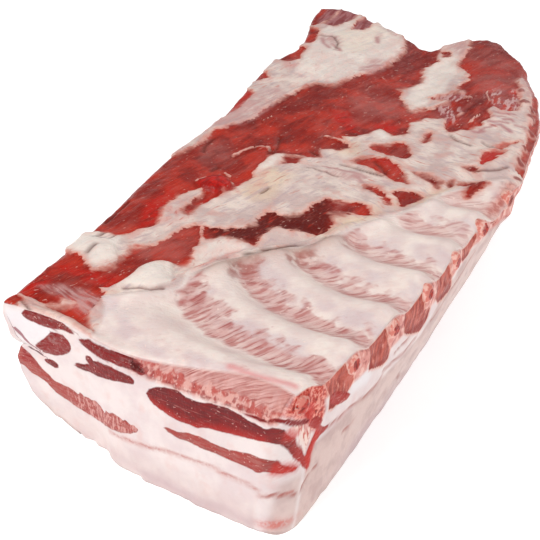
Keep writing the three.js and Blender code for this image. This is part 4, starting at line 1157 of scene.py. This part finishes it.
class Graph:
    """Short calls for building a material's nodes."""

    def __init__(self, name):
        self.material = bpy.data.materials.new(name)
        self.material.use_nodes = True
        self.tree = self.material.node_tree
        self.shader = self.tree.nodes["Principled BSDF"]

    def node(self, kind, **settings):
        node = self.tree.nodes.new(kind)
        for key, value in settings.items():
            setattr(node, key, value)
        return node

    def feed(self, socket, value):
        """Links a value to a socket or sets it there. A tuple is a colour as in a photograph."""
        if isinstance(value, bpy.types.NodeSocket):
            self.tree.links.new(value, socket)
        elif isinstance(value, tuple):
            socket.default_value = srgb(*value)
        else:
            socket.default_value = value

    def fact(self, name):
        return self.node("ShaderNodeAttribute", attribute_name=name).outputs["Fac"]

    def math(self, operation, a, b=0.0, c=0.0):
        node = self.node("ShaderNodeMath", operation=operation)
        for socket, value in zip(node.inputs, (a, b, c)):
            self.feed(socket, value)
        return node.outputs[0]

    def times(self, *values):
        product = values[0]
        for value in values[1:]:
            product = self.math("MULTIPLY", product, value)
        return product

    def plus(self, a, b):
        return self.math("ADD", a, b)

    def minus(self, a, b):
        return self.math("SUBTRACT", a, b)

    def over(self, a, b):
        return self.math("DIVIDE", a, b)

    def scaled(self, value, scale, start):
        return self.math("MULTIPLY_ADD", value, scale, start)

    def ease(self, start, end, value):
        node = self.node("ShaderNodeMapRange", interpolation_type="SMOOTHSTEP")
        self.feed(node.inputs["Value"], value)
        self.feed(node.inputs["From Min"], start)
        self.feed(node.inputs["From Max"], end)
        return node.outputs["Result"]

    def mix(self, share, a, b):
        node = self.node("ShaderNodeMix", data_type="RGBA")
        self.feed(node.inputs[0], share)
        self.feed(node.inputs[6], a)
        self.feed(node.inputs[7], b)
        return node.outputs[2]

    def blend(self, share, a, b):
        """A number between two others."""
        return self.scaled(share, self.minus(b, a), a)

    def tint(self, base, colour, *shares):
        """A base colour with so much of another over it."""
        return self.mix(self.times(*shares), base, colour)

    def places(self, turn=0.0, stretch=(1, 1, 1)):
        """Places in mm, turned about z and then squeezed."""
        coordinates = self.node("ShaderNodeTexCoord").outputs["Object"]
        node = self.node("ShaderNodeMapping", vector_type="TEXTURE")
        self.feed(node.inputs["Vector"], coordinates)
        node.inputs["Rotation"].default_value = (0, 0, math.radians(turn))
        node.inputs["Scale"].default_value = tuple(MM * s for s in stretch)
        return node.outputs["Vector"]

    def noise(self, places, size=1.0, detail=2.0, roughness=0.5):
        node = self.node("ShaderNodeTexNoise")
        self.feed(node.inputs["Vector"], places)
        node.inputs["Scale"].default_value = 1 / size
        node.inputs["Detail"].default_value = detail
        node.inputs["Roughness"].default_value = roughness
        return node.outputs["Fac"]

    def grain(self, stretch, turn=0, detail=2, roughness=0.5):
        """Noise whose lumps are stretched in mm along three directions, turned about z."""
        return self.noise(self.places(turn, stretch), 1, detail, roughness)

    def axes(self):
        """The three coordinates of a place in mm."""
        node = self.node("ShaderNodeSeparateXYZ")
        self.feed(node.inputs[0], self.places())
        return tuple(node.outputs)

    def join(self, x, y, z=0.0):
        node = self.node("ShaderNodeCombineXYZ")
        for socket, value in zip(node.inputs, (x, y, z)):
            self.feed(socket, value)
        return node.outputs[0]

    def bump(self, height, strength, distance):
        node = self.node("ShaderNodeBump")
        node.inputs["Strength"].default_value = strength
        node.inputs["Distance"].default_value = distance * MM
        self.feed(node.inputs["Height"], height)
        return node.outputs["Normal"]

    def finish(self, colour, roughness, normal):
        self.feed(self.shader.inputs["Base Color"], colour)
        self.feed(self.shader.inputs["Roughness"], roughness)
        self.feed(self.shader.inputs["Normal"], normal)
        self.shader.inputs["Specular IOR Level"].default_value = 0.2
        self.shader.inputs["Coat Weight"].default_value = 0.05
        self.shader.inputs["Coat Roughness"].default_value = 0.18
        self.shader.inputs["Subsurface Weight"].default_value = 0.06
        self.shader.inputs["Subsurface Radius"].default_value = (1.0, 0.35, 0.25)
        self.shader.inputs["Subsurface Scale"].default_value = 0.002
        return self.material


def fat_colour(g, places):
    cloudy = g.ease(0.38, 0.64, g.noise(places, 15, 3))
    on_top = g.fact("top")
    above = g.mix(cloudy, (240, 220, 209), (212, 186, 180))
    colour = g.mix(on_top, g.mix(cloudy, (234, 219, 216), (224, 205, 204)), above)
    colour = g.tint(colour, (236, 208, 180), g.fact("cream"), 0.7)
    mottled = g.ease(0.4, 0.64, g.grain((9, 5, 6), 100, 4))
    colour = g.tint(colour, (224, 162, 154), g.fact("blush"), mottled, 0.85)
    flecks = g.ease(0.62, 0.72, g.grain((4.5, 2.2, 3), 100, 3))
    colour = g.tint(colour, (186, 84, 78), g.fact("blush"), flecks, 0.8)
    left_sweep = g.grain((11, 2.2, 3), 70, 3)
    right_sweep = g.grain((11, 2.2, 3), -8, 3)
    x, _, _ = g.axes()
    sweep = g.blend(g.ease(0, 30, x), left_sweep, right_sweep)
    colour = g.tint(colour, (196, 170, 172), g.ease(0.52, 0.66, sweep), 0.6, on_top)
    colour = g.tint(colour, (206, 122, 110), g.ease(0.39, 0.27, sweep), 0.8, on_top)
    flush = g.ease(0.52, 0.7, g.noise(places, 8, 3))
    colour = g.tint(colour, (222, 164, 153), flush, g.blend(on_top, 0.2, 0.45))
    bright = g.math("MINIMUM", g.plus(g.fact("lump"), g.fact("white")), 1.0)
    brightest = g.mix(on_top, (236, 230, 232), (248, 236, 226))
    colour = g.tint(colour, brightest, bright, 0.75)
    return g.tint(colour, (176, 96, 102), g.fact("vein"), 0.75, on_top)


def rack_colour(g, places):
    phase = g.fact("phase")
    q = g.math("FRACT", phase)
    a, b, streaked = g.fact("streak_a"), g.fact("streak_b"), g.fact("streaked")
    rib = g.math("FLOOR", phase)
    cloud = g.noise(places, 13, 3)
    base = g.mix(g.ease(0.35, 0.65, cloud), (250, 234, 225), (237, 217, 211))
    lilac = g.times(g.ease(0.5, 0.62, q), g.ease(0.95, 0.8, q), g.ease(0.4, 0.62, g.noise(places, 15)))
    base = g.tint(base, (210, 188, 194), lilac, 0.5)
    low = g.scaled(g.noise(g.join(g.over(a, 4.5), rib), 1, 1), 0.2, -0.1)
    low = g.plus(g.fact("band_start"), low)
    high = g.scaled(g.grain((9, 6, 9)), 0.75, 0.02)
    high = g.plus(g.fact("band_start"), high)
    fade = g.scaled(phase, -0.09, 1.0)
    window = g.times(g.ease(g.minus(low, 0.03), g.plus(low, 0.07), q),
                     g.ease(g.plus(high, 0.08), g.minus(high, 0.1), q), streaked, fade)
    patchy = g.scaled(g.ease(0.3, 0.65, g.noise(places, 10, 2)), 0.4, 0.45)
    base = g.tint(base, (210, 156, 151), window, patchy)
    close = g.times(g.fact("close"), g.ease(0.08, 0.2, q), g.ease(0.75, 0.5, q), streaked)
    base = g.tint(base, (160, 84, 78), close, g.ease(0.4, 0.6, g.noise(places, 5, 3)), 0.8)
    broad = g.noise(g.join(g.over(a, 2.1), g.over(b, 13), rib), 1, 3, 0.5)
    fine = g.noise(g.join(g.over(a, 1.2), g.over(b, 9), rib), 1, 2, 0.5)
    base = g.tint(base, (184, 102, 98), window, g.ease(0.46, 0.64, broad), 0.8)
    base = g.tint(base, (160, 68, 64), window, g.ease(0.52, 0.66, fine), 0.7)
    base = g.tint(base, (234, 208, 201), window, g.ease(0.46, 0.34, broad), 0.55)
    base = g.tint(base, (226, 132, 134), g.fact("front_line"), 0.7)
    # Painted highlight: small white glints scattered over the rack.
    painted_glint = g.ease(0.72, 0.78, g.noise(places, 2.2, 1))
    base = g.tint(base, (252, 226, 216), painted_glint, 0.7)
    # Painted shade on the rack beside the rolled edge.
    base = g.tint(base, (170, 130, 116), g.fact("soft_shade"), 0.75)
    blush = g.mix(g.ease(0.4, 0.62, g.grain((3, 3, 3), 0, 3)), (230, 168, 156), (186, 92, 80))
    return g.tint(base, blush, g.fact("edge_pink"), 0.9)


def bevel_colour(g):
    """The rack's cut front edge: a row of red knobs below and pale sweeping fibres above."""
    knobs = g.grain((4.0, 6, 4.4))
    knob = g.mix(g.ease(0.4, 0.56, knobs), (220, 164, 154), (188, 92, 84))
    core = g.ease(0.54, 0.66, g.grain((2.4, 5, 3.2)))
    knob = g.tint(knob, (152, 50, 48), core, 0.75)
    specks = g.ease(0.62, 0.7, g.grain((0.9, 3, 1.8), 0, 1))
    knob = g.tint(knob, (242, 210, 202), specks, 0.4)
    x, _, height = g.axes()
    above = g.minus(height, 55.0)
    swept = g.scaled(g.times(above, above), 0.11, g.times(above, 0.8))
    leaning = g.scaled(g.noise(g.places(), 8, 1), 3.0, g.minus(x, swept))
    fibres = g.noise(g.join(g.over(leaning, 1.5), g.over(above, 8.0)), 1, 2)
    fibre = g.mix(g.ease(0.4, 0.6, fibres), (222, 170, 162), (172, 96, 90))
    fibre = g.tint(fibre, (204, 148, 141), g.ease(0.3, 0.62, g.noise(g.places(), 6, 2)), 0.7)
    waver = g.scaled(g.grain((5, 5, 5)), 7.0, 55.5)
    return g.mix(g.ease(g.minus(waver, 1.4), waver, height), knob, fibre)


def flesh_colour(g, places, fibres):
    cloud = g.noise(places, 14, 3)
    base = g.mix(g.ease(0.38, 0.6, cloud), (192, 50, 32), (148, 30, 18))
    base = g.tint(base, (146, 34, 24), g.ease(0.45, 0.6, fibres), 0.35)
    clumps = g.grain((10, 3.5, 4), 70, 3)
    base = g.tint(base, (92, 13, 6), g.fact("dark"), g.ease(0.22, 0.46, clumps), 0.92)
    base = g.tint(base, (116, 16, 10), g.fact("dusky"), 0.6)
    base = g.tint(base, (192, 26, 10), g.fact("vivid"), g.ease(0.7, 0.5, clumps))
    deep = g.ease(0.5, 0.68, g.grain((17, 5, 8), 72, 4, 0.6))
    base = g.tint(base, (108, 17, 9), deep, 0.55)
    bright = g.ease(0.54, 0.72, g.grain((15, 6, 9), 84, 3))
    base = g.tint(base, (196, 58, 40), bright, g.minus(1.0, g.fact("dark")), 0.45)
    sheen = g.ease(0.5, 0.7, g.grain((20, 6, 6), 78, 3))
    base = g.tint(base, (196, 112, 102), sheen, g.minus(1.0, g.fact("dark")), 0.22)
    thread = g.ease(0.6, 0.7, g.grain((5, 0.8, 2), 76, 2))
    base = g.tint(base, (206, 110, 92), thread, 0.3)
    fleck = g.ease(0.7, 0.75, g.grain((2.4, 1.2, 1.6), 60, 1))
    base = g.tint(base, (236, 190, 176), fleck, 0.5)
    hazy = g.scaled(g.ease(0.36, 0.62, g.grain((14, 5, 6), 70, 3)), 0.3, 0.15)
    base = g.tint(base, (186, 108, 100), g.fact("haze"), hazy)
    ruddy = g.mix(g.ease(0.42, 0.6, g.noise(places, 4, 3)), (206, 20, 8), (160, 10, 6))
    base = g.tint(base, ruddy, g.fact("cherry"), 0.9)
    mottled = g.ease(0.46, 0.62, g.noise(places, 7, 4))
    base = g.tint(base, (172, 92, 94), g.fact("marbled"), mottled, 0.6)
    streaky = g.ease(0.5, 0.6, g.grain((7, 2.6, 4), 100, 4, 0.6))
    base = g.tint(base, (222, 180, 176), g.fact("marbled"), streaky, 0.8)
    veined = g.ease(0.44, 0.62, g.grain((12, 2.2, 4), 95, 3))
    tip = g.mix(veined, (142, 66, 68), (176, 116, 118))
    base = g.tint(base, tip, g.fact("tip"), 0.85)
    return g.tint(base, (206, 110, 98), g.fact("edge_pink"), 0.35)


def seam_colour(g):
    """Lean in the front cut: dark and close-grained, or pale where fat runs through it."""
    grain = g.grain((5, 6, 0.8), 0, 3)
    dark = g.mix(g.ease(0.4, 0.62, grain), (128, 26, 26), (94, 16, 20))
    dark = g.tint(dark, (112, 36, 42), g.fact("upper"), 0.4)
    dark = g.tint(dark, (178, 34, 28), g.fact("bright"), 0.85)
    streak = g.ease(0.6, 0.72, g.grain((7, 6, 0.7), 8, 2))
    dark = g.tint(dark, (186, 110, 104), streak, 0.5)
    pale = g.mix(g.ease(0.42, 0.6, grain), (184, 80, 72), (196, 112, 104))
    crimson = g.mix(g.ease(0.42, 0.6, grain), (164, 40, 42), (186, 84, 80))
    pale = g.tint(pale, crimson, g.fact("crimson"), 0.8)
    marbling = g.ease(0.5, 0.62, g.grain((2.4, 5, 1.8), 0, 3))
    pale = g.tint(pale, (214, 160, 156), marbling, g.fact("marbled"), 0.75)
    pale = g.tint(pale, (142, 34, 38), g.ease(0.5, 0.38, grain), g.fact("marbled"), 0.8)
    colour = g.mix(g.fact("tone"), dark, pale)
    slanted = g.grain((0.9, 6, 3.2))
    stripe = g.times(g.fact("grainy"), g.ease(0.46, 0.6, slanted))
    colour = g.tint(colour, (222, 166, 158), stripe, 0.7)
    fleck = g.ease(0.68, 0.74, g.grain((1.5, 4, 0.9), 0, 1))
    return g.tint(colour, (224, 176, 166), fleck, 0.6)


def side_colour(g, places, colour):
    """The right wall: lean between the ribs, torn rib ends and lines in the skin."""
    upright = g.grain((6, 1.8, 7), 0, 3)
    lean = g.mix(g.ease(0.38, 0.62, upright), (194, 94, 78), (156, 56, 44))
    threads = g.ease(0.6, 0.68, g.grain((3, 1.2, 5)))
    lean = g.tint(lean, (222, 150, 134), threads, 0.7)
    lean = g.tint(lean, (142, 30, 20), g.fact("rim_red"), 0.85)
    outline = g.times(g.ease(0.04, 0.3, g.fact("lozenge")), g.ease(0.75, 0.4, g.fact("lozenge")))
    blotch = g.grain((3.5, 3.5, 4.5), 0, 3)
    band = g.mix(g.ease(0.36, 0.5, blotch), (236, 184, 172), (212, 126, 114))
    band = g.tint(band, (178, 72, 62), g.ease(0.54, 0.62, blotch))
    colour = g.tint(colour, band, g.fact("rack"), g.fact("side"), 0.9)
    torn = g.noise(places, 2.2, 4, 0.6)
    torn_colour = g.mix(g.ease(0.4, 0.54, torn), (232, 150, 134), (194, 62, 46))
    torn_colour = g.tint(torn_colour, (122, 20, 14), g.ease(0.56, 0.66, torn))
    colour = g.mix(g.fact("torn"), colour, torn_colour)
    fan = g.grain((1.3, 1.3, 5))
    fan_colour = g.mix(g.ease(0.44, 0.6, fan), (244, 214, 202), (204, 100, 86))
    colour = g.mix(g.fact("fan"), colour, fan_colour)
    colour = g.mix(g.ease(0.35, 0.65, g.fact("lozenge")), colour, lean)
    colour = g.tint(colour, (228, 164, 148), outline, 0.6)
    return g.tint(colour, (176, 106, 98), g.fact("brown"), 0.9)


# The two lines drawn at the front cut's left corner: the name in their facts, half the width as a
# share of 10 mm, and the colour.
CORNER_MARKS = [("fold", 0.08, (158, 98, 106)), ("flap", 0.065, (104, 46, 54))]


def flesh_share(g, places, torn, lumpy):
    """How deep each place lies in flesh, ragged along its edge, and how much of it is flesh."""
    on_top = g.fact("top")
    ragged = g.times(g.minus(g.blend(0.5, torn, lumpy), 0.5), g.blend(on_top, 1.2, 6.0))
    depth = g.plus(g.fact("flesh"), ragged)
    softness = g.ease(0.42, 0.62, g.noise(places, 13, 2))
    width = g.blend(g.times(softness, on_top), 0.35, 2.6)
    return depth, g.ease(g.times(width, -1.0), width, depth)


def pale_colour(g, places, depth):
    """Fat, rack and skin, flushed towards the flesh's edge."""
    on_top = g.fact("top")
    pale = g.mix(g.fact("rack"), fat_colour(g, places), rack_colour(g, places))
    pale = g.tint(pale, (222, 172, 160), g.ease(-5.0, -1.0, depth), 0.4, on_top)
    pale = g.tint(pale, (228, 150, 130), g.ease(-1.8, -0.2, depth), 0.6, on_top)
    pale = g.tint(pale, (228, 160, 146), g.fact("torn_edge"), 0.6)
    pale = g.mix(g.fact("bevel"), pale, bevel_colour(g))
    skin = g.mix(g.ease(0.4, 0.65, g.noise(places, 10, 3)), (216, 189, 182), (198, 168, 163))
    pale = g.mix(g.fact("skin"), pale, skin)
    pale = g.tint(pale, (194, 164, 168), g.fact("mauve"), 0.7)
    grain = g.ease(0.36, 0.56, g.grain((1.1, 3, 1.1), 0, 1))
    pale = g.tint(pale, (190, 122, 114), g.fact("line"), g.blend(grain, 0.55, 0.95))
    pale = g.tint(pale, (206, 104, 94), g.fact("foot_red"), g.blend(grain, 0.5, 1.0))
    return side_colour(g, places, pale)


def marked_colour(g, places, lumpy, colour):
    """What lies over fat and flesh alike: scarlet, knobs, films, painted shade and shadow, and drawn lines.
    """
    colour = g.tint(colour, (200, 40, 28), g.fact("scarlet"), g.blend(lumpy, 0.5, 1.0))
    knob = g.fact("knob")
    colour = g.tint(colour, (226, 178, 166), g.ease(0.15, 0.45, knob), 0.45)
    colour = g.tint(colour, (148, 54, 46), g.ease(0.45, 0.8, knob), 0.85)
    _, y, _ = g.axes()
    at_corner = g.ease(-130.0, -150.0, y)
    swept = g.blend(at_corner, g.grain((9, 2.0, 3), 78, 3), g.grain((11, 1.8, 3), -14, 3))
    filmy = g.scaled(g.ease(0.34, 0.62, swept), 0.65, 0.2)
    colour = g.tint(colour, (206, 160, 156), g.fact("film"), filmy)
    # Painted shade in the creases.
    colour = g.tint(colour, (100, 40, 30), g.fact("crease"), 0.75)
    patches = g.ease(0.3, 0.55, g.noise(places, 12, 1))
    colour = g.tint(colour, (96, 54, 40), g.fact("shade"), patches, 0.95)
    for name, half_width, shade in CORNER_MARKS:
        away = g.math("ABSOLUTE", g.minus(g.fact(name + "_side"), 0.5))
        near = g.ease(0.2, 0.7, g.fact(name + "_near"))
        colour = g.tint(colour, shade, g.ease(half_width, 0.5 * half_width, away), near, 0.9)
    # Painted shadow in the crease under the bevel.
    return g.tint(colour, (134, 26, 28), g.ease(0.25, 0.75, g.fact("dark_line")))


def meat_material():
    g = Graph("meat")
    places = g.places()
    fibres = g.grain((7, 1.0, 2), 78, 3)
    torn = g.grain((4.5, 1.2, 3), TORN_TURN, 3)
    lumpy = g.noise(places, 4, 3)
    on_top = g.fact("top")
    depth, flesh = flesh_share(g, places, torn, lumpy)
    lean = g.mix(on_top, seam_colour(g), flesh_colour(g, places, fibres))
    colour = g.mix(flesh, pale_colour(g, places, depth), lean)
    colour = marked_colour(g, places, lumpy, colour)
    roughness = g.scaled(g.noise(places, 3, 2), 0.4, 0.2)
    fine = g.plus(g.times(fibres, flesh, 1.4), g.noise(places, 1.6, 3))
    fine = g.plus(fine, g.times(torn, g.minus(1.0, flesh), on_top, 0.8))
    return g.finish(colour, roughness, g.bump(fine, 0.7, 0.5))


def rib_end_material():
    g = Graph("rib_end")
    places = g.places()
    ring = g.plus(g.fact("ring"), g.times(g.minus(g.noise(places, 2.4, 4), 0.5), 1.3))
    marrow = g.mix(g.ease(0.42, 0.6, g.noise(places, 1.5, 2)), (190, 60, 48), (132, 22, 14))
    rim = g.mix(g.ease(0.4, 0.6, g.noise(places, 2.4, 2)), (240, 188, 174), (216, 124, 110))
    colour = g.mix(g.ease(0.4, 0.66, ring), marrow, rim)
    return g.finish(colour, 0.4, g.bump(g.noise(places, 1.2, 3), 0.6, 0.4))


def make_slab():
    """The whole slab's points in place, its faces, and all that is known of each point."""
    points, quads, foot, place = slab_surface()
    points = relaxed(points, quads, 0.75 * np.clip(1 - place["rim_gap"] / 5, 0, 1), 6)
    normals = normals_of(points, quads)
    facts = painted(points, place)
    lift = top_relief(points, facts) + edge_relief(points, facts) + wall_relief(points, place, facts)
    moved = points + normals * lift[:, None]
    low = points[:, 2] < FOOT_LEVEL
    moved[:, 2] = np.where(low, points[:, 2], np.maximum(moved[:, 2], FLOOR_GAP))
    above = np.maximum(moved[:, 2] - (TOP_LIMIT - SOFT_LIMIT), 0)
    moved[:, 2] += SOFT_LIMIT * (1 - np.exp(-above / SOFT_LIMIT)) - above
    return moved, quads, foot, facts, place


def held_within(points):
    """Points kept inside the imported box."""
    low, high = (np.array(corner) / MM + BOX_CENTRE for corner in CAD_BOX)
    return np.clip(points, low, high)


def patch_piece(name, slab, depth, material, thickness=1.5):
    """A closed shell over the part of the slab where depth is positive, sunk in along its edge."""
    points, quads, facts = slab["points"], slab["quads"], slab["facts"]
    kept = quads[(depth[quads] > -0.8).all(axis=1)]
    used, flat = np.unique(kept, return_inverse=True)
    kept = flat.reshape(kept.shape)
    normals = slab["normals"][used]
    sunk = 0.5 - 0.6 * ease(-0.6, 0.3, depth[used])
    outer = points[used] - normals * sunk[:, None]
    inner = points[used] - normals * (thickness + sunk)[:, None]
    count = len(used)
    edges = edges_of(kept)
    code = edges[:, 0] * count + edges[:, 1]
    back = edges[:, 1] * count + edges[:, 0]
    rim = edges[~np.isin(code, back)]
    sides = np.stack([rim[:, 1], rim[:, 0], rim[:, 0] + count, rim[:, 1] + count], -1)
    faces = np.vstack([kept, kept[:, ::-1] + count, sides]).tolist()
    both = {key: np.concatenate([values[used]] * 2) for key, values in facts.items()}
    return mesh_piece(name, held_within(np.vstack([outer, inner])), faces, material, both)


def end_frame(k, slab):
    """The middle of a rib's end on the right wall, and its ways out of the wall, along it and up."""
    place, points = slab["place"], slab["points"]
    arc = FIRST_END + RIB_PITCH * k
    gap = (place["arc"] - arc) ** 2 + (points[:, 2] - END_HEIGHT) ** 2 + 1e6 * (place["top"] > 0.5)
    nearest = int(gap.argmin())
    out = slab["normals"][nearest] * np.array([1, 1, 0.4])
    out = out / np.linalg.norm(out)
    along = np.cross([0, 0, 1.0], out)
    along = along / np.linalg.norm(along)
    return points[nearest], out, along, np.cross(out, along)


def lidded_stack(around, levels):
    """Faces between the rings of a stack, with a lid at each end."""
    faces = []
    for level in range(levels):
        low, high = level * around, (level + 1) * around
        for i in range(around):
            j = (i + 1) % around
            faces.append((low + i, low + j, high + j, high + i))
    faces.append(tuple(range(levels * around, (levels + 1) * around)))
    faces.append(tuple(range(around))[::-1])
    return faces


def rib_end(k, slab, material):
    """The sawn end of a rib: a short, uneven disc set into the right wall."""
    centre, out, along, up = end_frame(k, slab)
    angle = np.linspace(0, 2 * np.pi, END_POINTS, endpoint=False)
    body, ring_facts = [], []
    for ring in range(END_RINGS):
        share = (END_RINGS - 1 - ring) / (END_RINGS - 1)
        radius = END_RADIUS * (0.12 + 0.88 * share)
        flat = centre + radius * (np.cos(angle)[:, None] * along * 0.95 + np.sin(angle)[:, None] * up)
        uneven = (1.6 if k == 0 else 0.6) * rough(flat, 4, 60 + k) * share
        height = END_PROUD * (1 - share**4) + 0.7 * rough(flat, 2.4, 70 + k) * (1 - share)
        height = height - 0.6 + 0.4 * uneven
        body.append(flat + out * height[:, None] + (flat - centre) * 0.12 * uneven[:, None])
        ring_facts.append(np.full(END_POINTS, share if k else 0.3 + 0.35 * share))
    stack = np.vstack([body[0] - out * END_DEPTH, *body])
    faces = lidded_stack(END_POINTS, END_RINGS)
    ring = np.concatenate([np.ones(END_POINTS), *ring_facts])
    return mesh_piece(f"rib_end_{k + 1}", held_within(stack), faces, material, {"ring": ring})


def dress_slab():
    material = meat_material()
    moved, quads, foot, facts, place = make_slab()
    moved = held_within(moved)
    slab = {"points": moved, "quads": quads, "facts": facts, "place": place,
            "normals": normals_of(moved, quads)}
    faces = [tuple(q) for q in quads.tolist()] + [tuple(foot[::-1].tolist())]
    pieces = [(mesh_piece("slab", moved, faces, material, facts), "fat", ["fat_and_skin"])]
    x, y = moved[:, 0], moved[:, 1]
    top = facts["top"] > 0.5
    bevel = np.where(facts["bevel"] > 0.5, 1.0, -5.0)
    rack = np.where(top, np.minimum(-facts["beside"], -facts["flesh"]), bevel)
    pieces.append((patch_piece("rack", slab, rack, material), "rack", ["rib_rack"]))
    bare = np.where(top, facts["flesh"], -5)
    for name, cut in MUSCLE_REGIONS.items():
        here = np.minimum(bare, inside(cut, x, y))
        pieces.append((patch_piece("bare_" + name, slab, here, material), "lean", [name]))
    seams = np.where(top, -5, facts["flesh"])
    nodes = [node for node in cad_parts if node.startswith("lean_")]
    pieces.append((patch_piece("cut_seams", slab, seams, material), "dark_lean", nodes))
    end_material = rib_end_material()
    for k in range(RIB_COUNT):
        pieces.append((rib_end(k, slab, end_material), "bone", [f"rib_{k + 1}"]))
    for piece, slot, nodes in pieces:
        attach(piece, "root")
        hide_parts(*nodes)


# The camera looks down on the front right corner, as in the photograph.
CAMERA_AZIMUTH = 30
CAMERA_ELEVATION = 35
CAMERA_PLACE = (180.9, -336.7, 398.75)
LENS = 86.67


def set_camera():
    azimuth, elevation = math.radians(CAMERA_AZIMUTH), math.radians(CAMERA_ELEVATION)
    back = Vector((math.sin(azimuth) * math.cos(elevation), -math.cos(azimuth) * math.cos(elevation),
                   math.sin(elevation)))
    right = Vector((math.cos(azimuth), math.sin(azimuth), 0))
    up = back.cross(right)
    data = bpy.data.cameras.new("camera")
    data.lens = LENS
    data.sensor_width = 36
    data.clip_start = 0.01
    camera = bpy.data.objects.new("camera", data)
    place = Vector((np.array(CAMERA_PLACE) - BOX_CENTRE) * MM)
    camera.matrix_world = Matrix.Translation(place) @ Matrix((right, up, back)).transposed().to_4x4()
    bpy.context.scene.collection.objects.link(camera)
    bpy.context.scene.camera = camera


def add_light(name, place, energy, size):
    data = bpy.data.lights.new(name, "AREA")
    data.energy = energy
    data.size = size
    light = bpy.data.objects.new(name, data)
    light.location = place
    light.rotation_euler = (-Vector(place)).to_track_quat("-Z", "Y").to_euler()
    bpy.context.scene.collection.objects.link(light)


def add_floor():
    material = bpy.data.materials.new("floor")
    material.use_nodes = True
    shader = material.node_tree.nodes["Principled BSDF"]
    shader.inputs["Base Color"].default_value = (0.75, 0.75, 0.75, 1)
    shader.inputs["Roughness"].default_value = 0.9
    shader.inputs["Specular IOR Level"].default_value = 0.1
    shader.inputs["Emission Color"].default_value = (1, 1, 1, 1)
    shader.inputs["Emission Strength"].default_value = 0.55
    mesh = bpy.data.meshes.new("floor")
    corners = [(-4, -4, 0), (4, -4, 0), (4, 4, 0), (-4, 4, 0)]
    mesh.from_pydata(corners, [], [(0, 1, 2, 3)])
    mesh.materials.append(material)
    floor = bpy.data.objects.new("floor", mesh)
    bpy.context.scene.collection.objects.link(floor)


def set_studio():
    """A white floor, a white sky and soft lights from the front, the right and behind."""
    add_floor()
    world = bpy.data.worlds.new("studio")
    world.use_nodes = True
    world.node_tree.nodes["Background"].inputs["Color"].default_value = (1, 1, 1, 1)
    world.node_tree.nodes["Background"].inputs["Strength"].default_value = 0.38
    bpy.context.scene.world = world
    add_light("key", (-0.5, -1.1, 1.1), 13.5, 0.6)
    add_light("side", (1.3, -0.3, 0.6), 5, 0.7)
    add_light("back", (0.2, 1.2, 1.0), 5, 0.8)
    bpy.context.scene.view_settings.view_transform = "Standard"


set_camera()
set_studio()
dress_slab()
